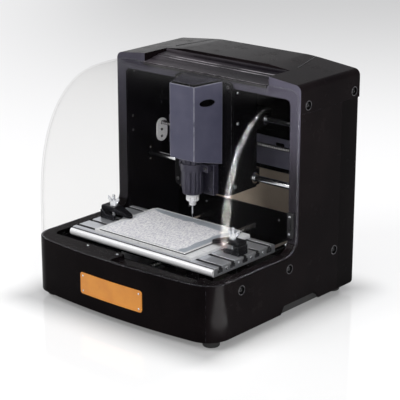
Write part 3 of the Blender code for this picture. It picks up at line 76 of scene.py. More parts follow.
RECORD = frame["record"]
BODY_OF = {n: b for b, nodes in RECORD["behaviour"]["bodies"].items() for n in nodes}
MM = 0.001
TURN = 2 * math.pi
SIDES = ((-1, "left"), (1, "right"))
CUP_LIP = CAD_BOX[1][0] + 0.2 * MM


# ---------------------------------------------------------------- finishes


class Wire:
    """What one node hands to the next, with arithmetic for plain numbers."""

    def __init__(self, finish, socket):
        self.finish = finish
        self.socket = socket

    def maths(self, operation, other=0.0, swapped=False):
        pair = (other, self) if swapped else (self, other)
        return self.finish.add("ShaderNodeMath", {"operation": operation}, {0: pair[0], 1: pair[1]})

    def __add__(self, other):
        return self.maths("ADD", other)

    __radd__ = __add__

    def __sub__(self, other):
        return self.maths("SUBTRACT", other)

    def __rsub__(self, other):
        return self.maths("SUBTRACT", other, swapped=True)

    def __mul__(self, other):
        return self.maths("MULTIPLY", other)

    __rmul__ = __mul__

    def __pow__(self, other):
        return self.maths("POWER", other)

    def most(self, other):
        return self.maths("MAXIMUM", other)

    def least(self, other):
        return self.maths("MINIMUM", other)

    def step(self, low, high, bottom=0.0, top=1.0):
        """Runs smoothly from bottom to top as the number goes from low to high."""
        settings = {"interpolation_type": "SMOOTHSTEP"}
        inputs = {0: self, 1: low, 2: high, 3: bottom, 4: top}
        return self.finish.add("ShaderNodeMapRange", settings, inputs)


class Finish:
    """One surface finish: a Principled shader and the nodes that vary it."""

    def __init__(self, name, colour, roughness, metallic=0.0, **more):
        self.material = bpy.data.materials.new(name)
        self.material.use_nodes = True
        self.tree = self.material.node_tree
        self.shader = self.tree.nodes["Principled BSDF"]
        self.bump_wire = None
        self.give("Base Color", (*colour, 1.0))
        self.give("Roughness", roughness)
        self.give("Metallic", metallic)
        for socket, value in more.items():
            self.give(socket.replace("_", " "), value)

    def connect(self, socket, value):
        if isinstance(value, Wire):
            self.tree.links.new(value.socket, socket)
        else:
            socket.default_value = value

    def give(self, name, value):
        self.connect(self.shader.inputs[name], value)

    def add(self, kind, settings=None, inputs=None, output=0):
        """Adds a node, sets it up, feeds its sockets and returns one of its outputs."""
        node = self.tree.nodes.new(kind)
        for key, value in (settings or {}).items():
            setattr(node, key, value)
        for key, value in (inputs or {}).items():
            self.connect(node.inputs[key], value)
        return Wire(self, node.outputs[output])

    def place(self, stretch=(1, 1, 1), turn=(0, 0, 0)):
        where = self.add("ShaderNodeTexCoord", output="Object")
        inputs = {"Vector": where, "Rotation": turn, "Scale": stretch}
        return self.add("ShaderNodeMapping", None, inputs)

    def axis(self, letter):
        where = self.add("ShaderNodeTexCoord", output="Object")
        return self.add("ShaderNodeSeparateXYZ", None, {0: where}, "XYZ".index(letter))

    def noise(self, size, detail=2.0, rough=0.5, stretch=(1, 1, 1), turn=(0, 0, 0)):
        """Soft noise whose patches are about size metres across, drawn out by stretch."""
        inputs = {"Vector": self.place(stretch, turn), "Scale": 1 / size}
        inputs.update({"Detail": detail, "Roughness": rough})
        return self.add("ShaderNodeTexNoise", None, inputs)

    def cells(self, size, stretch=(1, 1, 1), output="Distance"):
        inputs = {"Vector": self.place(stretch), "Scale": 1 / size}
        return self.add("ShaderNodeTexVoronoi", None, inputs, output)

    def attribute(self, name):
        return self.add("ShaderNodeAttribute", {"attribute_name": name}, None, "Fac")

    def blend(self, amount, first, second):
        """A colour that goes from first to second with amount."""
        colours = [c if isinstance(c, Wire) else (*c, 1.0) for c in (first, second)]
        inputs = {0: amount, 6: colours[0], 7: colours[1]}
        return self.add("ShaderNodeMix", {"data_type": "RGBA"}, inputs, 2)

    def edge_wear(self, rub, body, bright):
        """The base colour: body, rubbed through to bright along the eased edges."""
        worn = self.attribute("edge") * rub
        self.give("Base Color", self.blend(worn, body, bright))
        return worn

    def bump(self, height, distance, strength=1.0):
        """Raises the surface by height times distance metres."""
        inputs = {"Strength": strength, "Distance": distance, "Height": height}
        if self.bump_wire is not None:
            inputs["Normal"] = self.bump_wire
        self.bump_wire = self.add("ShaderNodeBump", None, inputs)
        self.give("Normal", self.bump_wire)


def gloss_paint():
    """Near-black gloss powder coat: orange peel, faint hand marks, rubbed edges that are partly a painted highlight.
    """
    f = Finish("gloss_black_paint", (0.010, 0.008, 0.009), 0.25)
    f.give("Specular IOR Level", 0.017)
    cloud = f.noise(90 * MM, 3).step(0.35, 0.7)
    body = f.blend(cloud, (0.0036, 0.0025, 0.0029), (0.0058, 0.0041, 0.0045))
    # Pale eased edges: partly wear, partly a painted highlight standing in for the gloss reflection along the edges.
    worn = f.edge_wear(f.noise(7 * MM, 4, 0.65).step(0.42, 0.68), body, (0.055, 0.050, 0.060))
    smudge = f.noise(28 * MM, 5, 0.6).step(0.45, 0.75)
    f.give("Roughness", 0.20 + 0.12 * smudge + 0.10 * worn)
    f.bump(f.noise(1.3 * MM, 2), 0.05 * MM, 0.5)
    return f.material


def front_painted_reflection():
    """The black gloss coat as it looks lit on the portal's front faces: a violet grey painted reflection, with
    painted shade making it deeper low on the posts.
    """
    f = Finish("front_painted_reflection_gloss", (0.05, 0.047, 0.06), 0.3, Specular_IOR_Level=0.12)
    cloud = f.noise(60 * MM, 3).step(0.3, 0.7)
    body = f.blend(cloud, (0.034, 0.032, 0.044), (0.044, 0.041, 0.056))
    low = f.blend(cloud, (0.007, 0.006, 0.008), (0.012, 0.010, 0.013))
    # Darker towards the bottom of the posts: painted shade.
    body = f.blend(f.axis("Z").step(0.22, 0.37), low, body)
    f.edge_wear(f.noise(6 * MM, 4, 0.65).step(0.45, 0.7), body, (0.22, 0.21, 0.25))
    f.give("Roughness", 0.30 + 0.08 * f.noise(20 * MM, 4).step(0.4, 0.8))
    f.bump(f.noise(1.2 * MM, 2), 0.05 * MM, 0.5)
    return f.material


def cup_lip_painted_highlight():
    """Paint of a screw recess: black inside, with a pale rolled lip that stands proud, a painted highlight varied by
    noise.
    """
    f = Finish("recess_lip_painted_highlight", (0.03, 0.028, 0.03), 0.2, Specular_IOR_Level=0.3)
    rub = f.noise(3 * MM, 3).step(0.35, 0.65)
    proud = (f.axis("X").maths("ABSOLUTE") - (CUP_LIP - 0.25 * MM)).step(0.0, 0.25 * MM)
    # The pale lip colour is a painted highlight on the rolled rim.
    lip = f.blend(rub, (0.045, 0.042, 0.048), (0.13, 0.125, 0.135))
    f.give("Base Color", f.blend(proud, (0.002, 0.0018, 0.002), lip))
    f.give("Roughness", 0.16 + 0.12 * rub)
    return f.material


def lavender_paint():
    """Satin violet grey enamel of the head cover: fine grain, soft cloudiness, bright edges that are a painted
    highlight.
    """
    f = Finish("violet_grey_satin", (0.11, 0.105, 0.14), 0.34, Specular_IOR_Level=0.2)
    cloud = f.noise(35 * MM, 3).step(0.3, 0.75)
    body = f.blend(cloud, (0.088, 0.088, 0.138), (0.112, 0.111, 0.166))
    # The bright edge colour is a painted highlight along the folded edges.
    f.edge_wear(0.9 * f.noise(9 * MM, 3, 0.6).step(0.15, 0.55), body, (0.42, 0.42, 0.50))
    f.give("Roughness", 0.30 + 0.10 * f.noise(12 * MM, 4).step(0.4, 0.8))
    f.bump(f.noise(0.7 * MM, 2), 0.04 * MM, 0.6)
    return f.material


def lid_painted_shade():
    """The cover's lid in the same enamel, made darker as painted shade on its top face."""
    f = Finish("violet_satin_painted_shade", (0.015, 0.014, 0.024), 0.34, Specular_IOR_Level=0.015)
    cloud = f.noise(24 * MM, 3).step(0.3, 0.75)
    body = f.blend(cloud, (0.007, 0.006, 0.013), (0.013, 0.011, 0.021))
    f.edge_wear(0.7 * f.noise(9 * MM, 3, 0.6).step(0.30, 0.62), body, (0.10, 0.10, 0.14))
    f.give("Roughness", 0.30 + 0.10 * f.noise(12 * MM, 4).step(0.4, 0.8))
    return f.material


def cross_plate_paint():
    """Pale violet satin of the cross plate high at the back of the chamber."""
    f = Finish("cross_plate_satin", (0.15, 0.145, 0.19), 0.36, Specular_IOR_Level=0.3)
    cloud = f.noise(40 * MM, 3).step(0.3, 0.7)
    body = f.blend(cloud, (0.27, 0.26, 0.35), (0.34, 0.33, 0.43))
    f.edge_wear(f.noise(6 * MM, 4, 0.65).step(0.40, 0.66), body, (0.35, 0.34, 0.40))
    f.give("Roughness", 0.32 + 0.10 * f.noise(20 * MM, 4).step(0.4, 0.8))
    return f.material


def violet_anodised():
    """Dark violet anodised aluminium with fine drawn lines and paler corners."""
    f = Finish("violet_anodised", (0.05, 0.047, 0.075), 0.36, 0.35)
    cloud = f.noise(18 * MM, 3).step(0.3, 0.7)
    body = f.blend(cloud, (0.034, 0.032, 0.052), (0.048, 0.045, 0.070))
    f.edge_wear(f.noise(5 * MM, 3, 0.6).step(0.35, 0.65), body, (0.26, 0.25, 0.31))
    f.give("Roughness", 0.30 + 0.14 * f.noise(0.8 * MM, 2, 0.5, (1, 1, 0.04)))
    f.bump(f.noise(0.5 * MM, 2, 0.5, (1, 1, 0.03)), 0.02 * MM, 0.5)
    return f.material


def dark_slide():
    """Deep blue-black anodised plate with a fine drawn grain."""
    f = Finish("blue_black_anodised", (0.014, 0.013, 0.024), 0.4, 0.2)
    cloud = f.noise(16 * MM, 3).step(0.3, 0.7)
    body = f.blend(cloud, (0.012, 0.011, 0.021), (0.020, 0.018, 0.032))
    f.edge_wear(f.noise(5 * MM, 3, 0.6).step(0.25, 0.55), body, (0.20, 0.19, 0.26))
    f.give("Roughness", 0.34 + 0.16 * f.noise(0.9 * MM, 2, 0.5, (1, 1, 0.04)))
    return f.material


def black_steel():
    """Satin black machined plate: slight mill marks, oil film, bare corners."""
    f = Finish("satin_black_steel", (0.011, 0.011, 0.012), 0.42)
    cloud = f.noise(30 * MM, 3).step(0.35, 0.7)
    body = f.blend(cloud, (0.0016, 0.0014, 0.0018), (0.0042, 0.0037, 0.0048))
    f.edge_wear(f.noise(5 * MM, 4, 0.65).step(0.45, 0.70), body, (0.07, 0.07, 0.08))
    f.give("Roughness", 0.36 + 0.16 * f.noise(15 * MM, 5, 0.6).step(0.35, 0.75))
    f.give("Specular IOR Level", 0.06)
    f.bump(f.noise(0.9 * MM, 3), 0.015 * MM, 0.4)
    return f.material


def pan_steel():
    """Black coated steel of the tray under the machine, with dust lying on it."""
    f = Finish("base_tray_steel", (0.02, 0.02, 0.021), 0.5)
    dust = f.noise(24 * MM, 5, 0.6).step(0.45, 0.8)
    f.give("Base Color", f.blend(dust, (0.016, 0.016, 0.017), (0.05, 0.048, 0.046)))
    f.give("Roughness", 0.42 + 0.25 * dust)
    f.bump(f.noise(1.5 * MM, 2), 0.05 * MM, 0.5)
    return f.material


def extruded_aluminium():
    """Clear anodised extrusion: die lines along X, small scuffs, bright corners."""
    f = Finish("extruded_aluminium", (0.72, 0.74, 0.77), 0.32, 0.8)
    lines = f.noise(0.5 * MM, 2, 0.5, (0.015, 1, 1))
    scuff = f.noise(6 * MM, 5, 0.7, (0.6, 1, 1)).step(0.52, 0.72)
    worn = f.attribute("edge")
    body = f.blend(scuff, (0.76, 0.78, 0.82), (0.64, 0.66, 0.71))
    f.give("Base Color", f.blend(worn, body, (0.90, 0.91, 0.93)))
    f.give("Roughness", 0.26 + 0.10 * lines + 0.12 * scuff)
    f.bump(lines, 0.02 * MM, 0.5)
    return f.material


def nose_painted_reflection():
    """The rounded front lip of the table: its aluminium made whiter and less metallic than the top, a painted
    reflection of the bright studio.
    """
    f = Finish("aluminium_lip_painted_reflection", (0.88, 0.89, 0.91), 0.34, 0.12)
    lines = f.noise(0.6 * MM, 2, 0.5, (0.012, 1, 1))
    scuff = f.noise(7 * MM, 5, 0.7, (0.4, 1, 1)).step(0.55, 0.75)
    f.give("Base Color", f.blend(scuff, (0.98, 0.985, 1.0), (0.84, 0.85, 0.88)))
    f.give("Roughness", 0.26 + 0.12 * lines + 0.10 * scuff)
    f.bump(lines, 0.02 * MM, 0.5)
    return f.material


def nut_steel():
    """Bright satin turned steel of the collet nut."""
    f = Finish("satin_turned_steel", (0.86, 0.86, 0.87), 0.26, 0.35)
    rings = f.noise(0.3 * MM, 2, 0.5, (0.02, 0.02, 1))
    f.give("Base Color", f.blend(f.noise(3 * MM, 3).step(0.3, 0.7), (0.92, 0.92, 0.93), (0.80, 0.80, 0.82)))
    f.give("Roughness", 0.20 + 0.14 * rings)
    f.bump(rings, 0.01 * MM, 0.5)
    return f.material


def ground_chrome(name, axis, dark=False):
    """Hard chrome ground round an axis: hair-fine rings that stretch the highlights."""
    colour = (0.55, 0.56, 0.58) if dark else (0.80, 0.81, 0.83)
    f = Finish(name, colour, 0.12, 1.0)
    stretch = tuple(1.0 if a == axis else 0.02 for a in "XYZ")
    rings = f.noise(0.25 * MM, 2, 0.5, stretch)
    film = f.noise(14 * MM, 4, 0.6).step(0.45, 0.75)
    faded = tuple(0.82 * c for c in colour)
    f.give("Base Color", f.blend(film, colour, faded))
    f.give("Roughness", 0.09 + 0.09 * rings + 0.08 * film)
    f.bump(rings, 0.004 * MM, 0.6)
    return f.material


def bright_zinc():
    """Zinc plated hardware: bright with a cloudy passivated film."""
    f = Finish("bright_zinc", (0.72, 0.73, 0.74), 0.2, 1.0)
    film = f.noise(3 * MM, 4, 0.6).step(0.35, 0.7)
    f.give("Base Color", f.blend(film, (0.80, 0.81, 0.82), (0.58, 0.60, 0.64)))
    f.give("Roughness", 0.14 + 0.16 * film)
    f.bump(f.noise(0.4 * MM, 2), 0.01 * MM, 0.5)
    return f.material


def cast_silver():
    """Pale tumbled zinc casting: satin, grainy, lightly pitted."""
    f = Finish("tumbled_zinc_casting", (0.72, 0.72, 0.73), 0.42, 0.35)
    grain = f.noise(1.4 * MM, 4, 0.7).step(0.35, 0.7)
    f.give("Base Color", f.blend(grain, (0.74, 0.74, 0.75), (0.92, 0.92, 0.92)))
    f.give("Roughness", 0.32 + 0.2 * grain)
    f.bump(grain, 0.05 * MM, 0.5)
    return f.material


def black_screw():
    """Black oxide screw: dark, slightly oily, rubbed bright on its edge."""
    f = Finish("black_oxide", (0.02, 0.02, 0.022), 0.35, 0.6)
    worn = f.attribute("edge") * f.noise(1.2 * MM, 3).step(0.3, 0.6)
    f.give("Base Color", f.blend(worn, (0.025, 0.024, 0.027), (0.16, 0.155, 0.16)))
    f.give("Roughness", 0.28 + 0.2 * f.noise(1.5 * MM, 3))
    return f.material


def oxide_clamp():
    """Blackened forged steel of the clamps with a blue-black bloom."""
    f = Finish("blackened_clamp", (0.012, 0.012, 0.014), 0.38, 0.1, Specular_IOR_Level=0.08)
    bloom = f.noise(6 * MM, 4, 0.6).step(0.35, 0.7)
    body = f.blend(bloom, (0.003, 0.003, 0.004), (0.009, 0.009, 0.012))
    f.edge_wear(f.noise(2.5 * MM, 4, 0.6).step(0.40, 0.66), body, (0.20, 0.20, 0.22))
    f.give("Roughness", 0.28 + 0.22 * bloom)
    f.bump(f.noise(0.9 * MM, 4, 0.6), 0.06 * MM, 0.6)
    return f.material


def lead_screw_steel():
    """Rolled thread: bright crests over roots that hold dark grease."""
    f = Finish("rolled_screw_steel", (0.5, 0.5, 0.52), 0.25, 1.0)
    root = 1 - f.attribute("crest")
    grease = root * f.noise(5 * MM, 3).step(0.2, 0.6)
    f.give("Base Color", f.blend(grease, (0.62, 0.62, 0.64), (0.10, 0.085, 0.07)))
    f.give("Roughness", 0.18 + 0.22 * grease)
    return f.material


def machined_brass():
    f = Finish("machined_brass", (0.70, 0.50, 0.22), 0.25, 1.0)
    tarnish = f.noise(5 * MM, 4).step(0.4, 0.75)
    f.give("Base Color", f.blend(tarnish, (0.74, 0.55, 0.26), (0.45, 0.30, 0.13)))
    f.give("Roughness", 0.18 + 0.2 * tarnish)
    return f.material


def beige_sheet():
    """Matt stone-coloured paint on the sheet at the back of the chamber."""
    f = Finish("stone_matt_paint", (0.28, 0.23, 0.18), 0.6)
    cloud = f.noise(45 * MM, 4, 0.55).step(0.3, 0.7)
    dust = f.noise(5 * MM, 5, 0.7).step(0.5, 0.8)
    body = f.blend(cloud, (0.56, 0.455, 0.35), (0.63, 0.52, 0.405))
    f.give("Base Color", f.blend(dust * 0.5, body, (0.70, 0.61, 0.51)))
    f.give("Roughness", 0.52 + 0.15 * dust)
    f.bump(f.noise(0.9 * MM, 3), 0.04 * MM, 0.7)
    return f.material


def white_board():
    """White melamine board with cutter scuffs and a faint weave of the press plate."""
    f = Finish("white_melamine", (0.80, 0.81, 0.82), 0.45)
    scuff = f.noise(9 * MM, 6, 0.7, (0.3, 1, 1)).step(0.56, 0.74)
    f.give("Base Color", f.blend(scuff, (0.82, 0.83, 0.84), (0.62, 0.62, 0.63)))
    f.give("Roughness", 0.38 + 0.2 * scuff)
    f.bump(f.noise(0.8 * MM, 3), 0.03 * MM, 0.6)
    return f.material


def etched_plate():
    """Light metal plate: bright border, blue-grey smooth margin, milled stippled field."""
    f = Finish("etched_work_metal", (0.75, 0.76, 0.79), 0.4, 0.55)
    field = f.attribute("field")
    relief = f.attribute("relief")
    border = f.attribute("border")
    grain = f.noise(2.7 * MM, 5, 0.8, (1, 0.42, 1), (0, 0, 0.6)).step(0.40, 0.58)
    smooth = f.blend(f.noise(14 * MM, 3), (0.44, 0.49, 0.55), (0.54, 0.585, 0.64))
    tone = (relief * 0.45 + grain * 0.60).step(0.10, 0.90)
    stipple = f.blend(tone, (0.60, 0.595, 0.67), (1.0, 1.0, 1.0))
    colour = f.blend(field, smooth, stipple)
    f.give("Base Color", f.blend(border, colour, (0.90, 0.91, 0.92)))
    f.give("Roughness", 0.36 + 0.18 * field)
    f.give("Metallic", 0.25 - 0.25 * field)
    f.bump(f.noise(0.8 * MM, 4, 0.7) * field, 0.12 * MM, 0.8)
    return f.material


def joint_and_shadow_black():
    """Near-black of the plate's backing, whose dark sides are a painted shadow line under the plate's edge; also used
    for the dark joint lines on the posts.
    """
    f = Finish("painted_shadow_and_joint_black", (0.02, 0.02, 0.022), 0.5)
    f.give("Roughness", 0.4 + 0.2 * f.noise(4 * MM, 3))
    return f.material


def moulded_rubber():
    f = Finish("moulded_rubber", (0.018, 0.018, 0.018), 0.75)
    dust = f.noise(6 * MM, 4, 0.6).step(0.45, 0.8)
    f.give("Base Color", f.blend(dust, (0.015, 0.015, 0.015), (0.045, 0.043, 0.04)))
    f.give("Roughness", 0.66 + 0.2 * dust)
    f.bump(f.noise(0.8 * MM, 3), 0.08 * MM, 0.6)
    return f.material


def black_plastic():
    """Moulded black nylon with fine spark-eroded grain."""
    f = Finish("moulded_black_plastic", (0.015, 0.015, 0.016), 0.45)
    cloud = f.noise(8 * MM, 3).step(0.35, 0.75)
    f.give("Base Color", f.blend(cloud, (0.012, 0.012, 0.013), (0.024, 0.024, 0.026)))
    f.give("Roughness", 0.38 + 0.16 * f.noise(1.2 * MM, 3))
    f.bump(f.noise(0.35 * MM, 2), 0.03 * MM, 0.7)
    return f.material


def red_plastic():
    f = Finish("red_rocker_plastic", (0.40, 0.02, 0.015), 0.3)
    cloud = f.noise(4 * MM, 3)
    f.give("Base Color", f.blend(cloud, (0.36, 0.016, 0.012), (0.46, 0.03, 0.022)))
    f.give("Roughness", 0.26 + 0.12 * cloud)
    return f.material


def amber_enamel():
    """Amber enamel of the blank plate: satin, with slightly darker patches."""
    f = Finish("amber_enamel", (0.78, 0.30, 0.035), 0.35)
    cloud = f.noise(30 * MM, 3).step(0.3, 0.7)
    worn = f.attribute("edge") * f.noise(3 * MM, 3).step(0.4, 0.7)
    body = f.blend(cloud, (0.80, 0.31, 0.035), (0.72, 0.26, 0.03))
    f.give("Base Color", f.blend(worn * 0.6, body, (0.85, 0.55, 0.25)))
    f.give("Roughness", 0.30 + 0.1 * f.noise(8 * MM, 4))
    f.bump(f.noise(0.8 * MM, 2), 0.02 * MM, 0.5)
    return f.material


def circuit_green():
    """Solder mask with tracks showing faintly through it."""
    f = Finish("green_circuit_board", (0.015, 0.11, 0.045), 0.35)
    tracks = f.cells(4 * MM, (1, 0.4, 1)).step(0.05, 0.16)
    f.give("Base Color", f.blend(tracks, (0.05, 0.20, 0.07), (0.012, 0.09, 0.035)))
    f.give("Roughness", 0.28 + 0.15 * tracks)
    return f.material


def galvanised():
    """Zinc coated sheet with crystal spangle."""
    f = Finish("galvanised_sheet", (0.60, 0.61, 0.63), 0.4, 0.9)
    spangle = f.add("ShaderNodeSeparateColor", None, {0: f.cells(7 * MM, output="Color")}, 0)
    f.give("Base Color", f.blend(spangle, (0.50, 0.51, 0.53), (0.68, 0.69, 0.71)))
    f.give("Roughness", 0.30 + 0.22 * spangle)
    return f.material


def hinge_leaf_paint():
    """Violet-brown satin coat of the hinge leaf, streaked along its length; paler to the left and deeper to the right
    as a painted reflection.
    """
    f = Finish("hinge_leaf_satin", (0.04, 0.035, 0.04), 0.3, Specular_IOR_Level=0.07)
    streak = f.noise(12 * MM, 4, 0.6, (0.12, 1, 1)).step(0.35, 0.7)
    pale = f.blend(streak, (0.024, 0.020, 0.024), (0.060, 0.052, 0.060))
    deep = f.blend(streak, (0.006, 0.005, 0.007), (0.014, 0.011, 0.015))
    # Paler to the left, deeper to the right: painted reflection.
    body = f.blend(f.axis("X").step(-0.12, 0.12), pale, deep)
    f.edge_wear(f.noise(9 * MM, 3).step(0.3, 0.6), body, (0.30, 0.28, 0.30))
    f.give("Roughness", 0.26 + 0.12 * streak)
    f.bump(f.noise(1.4 * MM, 2), 0.04 * MM, 0.5)
    return f.material


def rib_painted_highlight():
    """The leaf's raised ribs, made pale as painted highlight lines, varied by noise."""
    f = Finish("rib_painted_highlight_satin", (0.20, 0.18, 0.20), 0.3, Specular_IOR_Level=0.3)
    rub = f.noise(16 * MM, 4, 0.6, (0.3, 1, 1)).step(0.35, 0.65)
    f.give("Base Color", f.blend(rub, (0.055, 0.050, 0.056), (0.30, 0.28, 0.30)))
    f.give("Roughness", 0.24 + 0.12 * rub)
    return f.material


def groove_painted_shade():
    """Walls inside the T-slots: a darker copy of the table's aluminium as painted shade, with oil and fine swarf."""
    f = Finish("slot_painted_shade", (0.10, 0.10, 0.11), 0.5, 0.3)
    swarf = f.noise(2.2 * MM, 5, 0.75).step(0.55, 0.75)
    f.give("Base Color", f.blend(swarf, (0.055, 0.056, 0.062), (0.22, 0.22, 0.23)))
    f.give("Roughness", 0.40 + 0.25 * swarf)
    return f.material


def clear_acrylic():
    """Polished clear sheet, very slightly warm: its sides, seen through more plastic, go greyer."""
    f = Finish("clear_acrylic", (0.93, 0.95, 0.97), 0.04)
    gloss = f.add("ShaderNodeBsdfGlossy", None, {"Color": (1, 1, 1, 1), "Roughness": 0.08})
    through = f.add("ShaderNodeBsdfTransparent", None, {"Color": (0.972, 0.971, 0.969, 1)})
    deep = f.add("ShaderNodeBsdfTransparent", None, {"Color": (0.40, 0.385, 0.39, 1)})
    facing = f.add("ShaderNodeLayerWeight", None, {"Blend": 0.5}, "Facing")
    haze = f.noise(60 * MM, 4, 0.6).step(0.5, 0.85)
    plastic = f.add("ShaderNodeMixShader", None, {0: facing**5 * 0.30 + facing**16 * 0.5, 1: through, 2: deep})
    amount = facing**9 * 0.35 + haze * 0.0006 + 0.0009
    mixed = f.add("ShaderNodeMixShader", None, {0: amount, 1: plastic, 2: gloss})
    f.tree.links.new(mixed.socket, f.tree.nodes["Material Output"].inputs["Surface"])
    f.tree.nodes.remove(f.shader)
    return f.material


def acrylic_edge():
    """Cut edge of the clear sheet, which gathers light and shows pale."""
    f = Finish("acrylic_cut_edge", (0.40, 0.41, 0.45), 0.35, Alpha=0.22)
    saw = f.noise(0.8 * MM, 3, 0.6)
    f.give("Roughness", 0.25 + 0.25 * saw)
    return f.material


FINISH = {
    "paint": gloss_paint(),
    "front": front_painted_reflection(),
    "ring": cup_lip_painted_highlight(),
    "lavender": lavender_paint(),
    "lid": lid_painted_shade(),
    "cross": cross_plate_paint(),
    "violet": violet_anodised(),
    "violet_dark": dark_slide(),
    "black": black_steel(),
    "pan": pan_steel(),
    "aluminium": extruded_aluminium(),
    "nose": nose_painted_reflection(),
    "nut": nut_steel(),
    "rod_x": ground_chrome("chrome_rod_across", "X"),
    "rod_y": ground_chrome("chrome_rod_lengthwise", "Y"),
    "rod_z": ground_chrome("chrome_upright", "Z"),
    "tool": ground_chrome("ground_tool_steel", "Z", dark=True),
    "zinc": bright_zinc(),
    "silver": cast_silver(),
    "screw": black_screw(),
    "clamp": oxide_clamp(),
    "thread": lead_screw_steel(),
    "brass": machined_brass(),
    "beige": beige_sheet(),
    "board": white_board(),
    "etched": etched_plate(),
    "backing": joint_and_shadow_black(),
    "rubber": moulded_rubber(),
    "plastic": black_plastic(),
    "red": red_plastic(),
    "amber": amber_enamel(),
    "circuit": circuit_green(),
    "galvanised": galvanised(),
    "clear": clear_acrylic(),
    "leaf": hinge_leaf_paint(),
    "rib": rib_painted_highlight(),
    "groove": groove_painted_shade(),
    "clear_edge": acrylic_edge(),
}


# ---------------------------------------------------------------- mesh tools


def spread(a, b, t, axis):
    """Puts two numbers across an axis and one along it into X, Y, Z columns."""
    order = {"X": (t, a, b), "Y": (a, t, b), "Z": (a, b, t)}[axis]
    return np.stack(np.broadcast_arrays(*order), -1)


def quads(rows, cols, wrap_rows=False, wrap_cols=False):
    """Index quads of a grid of rows by cols points."""
    r, c = np.meshgrid(
        np.arange(rows if wrap_rows else rows - 1),
        np.arange(cols if wrap_cols else cols - 1),
        indexing="ij",
    )
    r2, c2 = (r + 1) % rows, (c + 1) % cols
    corners = (r * cols + c, r * cols + c2, r2 * cols + c2, r2 * cols + c)
    return np.stack(corners, -1).reshape(-1, 4)


def piece(name, points, faces, finish, smooth=38.0, outward=True):
    """A mesh object from points and faces, its normals turned out and shaded smooth."""
    mesh = bpy.data.meshes.new(name)
    mesh.from_pydata(np.asarray(points).reshape(-1, 3).tolist(), [], [list(f) for f in faces])
    if outward:
        bm = bmesh.new()
        bm.from_mesh(mesh)
        bmesh.ops.recalc_face_normals(bm, faces=bm.faces)
        bm.to_mesh(mesh)
        bm.free()
    mesh.shade_smooth()
    mesh.set_sharp_from_angle(angle=math.radians(smooth))
    mesh.materials.append(FINISH[finish])
    item = bpy.data.objects.new(name, mesh)
    bpy.context.scene.collection.objects.link(item)
    return item


def stands_for(item, *nodes):
    """The piece shows in place of the CAD nodes, on the first one's body and slot."""
    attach(item, BODY_OF[nodes[0]])
    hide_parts(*nodes)
    return item


def goes_with(item, node):
    """The piece is extra detail that moves with a CAD node."""
    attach(item, BODY_OF[node])
    return item


def point_attribute(item, name, values):
    layer = item.data.attributes.new(name, "FLOAT", "POINT")
    layer.data.foreach_set("value", np.asarray(values, np.float32).ravel())


def eased(bm, width, segments=2, sharper_than=32.0):
    """Rounds every sharp edge and marks the new narrow faces in the edge attribute."""
    mark = bm.faces.layers.float.get("edge") or bm.faces.layers.float.new("edge")
    limit = math.radians(sharper_than)
    sharp = [e for e in bm.edges if len(e.link_faces) == 2 and e.calc_face_angle(0.0) > limit]
    made = bmesh.ops.bevel(
        bm,
        geom=sharp,
        offset=width,
        offset_type="OFFSET",
        segments=segments,
        profile=0.5,
        affect="EDGES",
        clamp_overlap=True,
    )
    for face in made["faces"]:
        face[mark] = 1.0


def smoothed(item, angle=40.0):
    """Shades by area so that flat faces stay flat beside their rounded edges."""
    item.data.shade_smooth()
    item.data.set_sharp_from_angle(angle=math.radians(angle))
    weigh = item.modifiers.new("flat_faces", "WEIGHTED_NORMAL")
    weigh.keep_sharp = True
    return item


def refined(node, finish, width=0.4 * MM, segments=2):
    """The CAD node's own shape with its sharp edges eased, in a finer finish."""
    bm = bmesh.new()
    bm.from_mesh(frame["nodes"][node].data)
    bmesh.ops.remove_doubles(bm, verts=bm.verts, dist=2e-6)
    bmesh.ops.dissolve_limit(bm, angle_limit=0.01, verts=bm.verts, edges=bm.edges)
    if width:
        eased(bm, width, segments)
    mesh = bpy.data.meshes.new(node + "_eased")
    bm.to_mesh(mesh)
    bm.free()
    mesh.materials.clear()
    mesh.materials.append(FINISH[finish])
    item = bpy.data.objects.new(mesh.name, mesh)
    bpy.context.scene.collection.objects.link(item)
    return stands_for(smoothed(item), node)


def refine_all(*rows):
    """Refines CAD nodes from rows of (node, finish, easing in millimetres)."""
    for node, finish, width in rows:
        refined(node, finish, width * MM)


def block(name, outline, low, high, axis, finish, width=0.3 * MM, segments=2):
    """A closed outline carried from low to high along an axis, its edges eased."""
    outline = np.asarray(outline, float)
    count = len(outline)
    ends = [spread(outline[:, 0], outline[:, 1], np.full(count, t), axis) for t in (low, high)]
    faces = quads(2, count, wrap_cols=True).tolist()
    faces += [list(range(count)), list(range(count, 2 * count))]
    item = piece(name, np.concatenate(ends), faces, finish)
    if width:
        bm = bmesh.new()
        bm.from_mesh(item.data)
        eased(bm, width, segments)
        bm.to_mesh(item.data)
        bm.free()
    return smoothed(item)


def box_block(name, low, high, finish, width=0.3 * MM):
    outline = [(low[0], low[1]), (high[0], low[1]), (high[0], high[1]), (low[0], high[1])]
    return block(name, outline, low[2], high[2], "Z", finish, width)


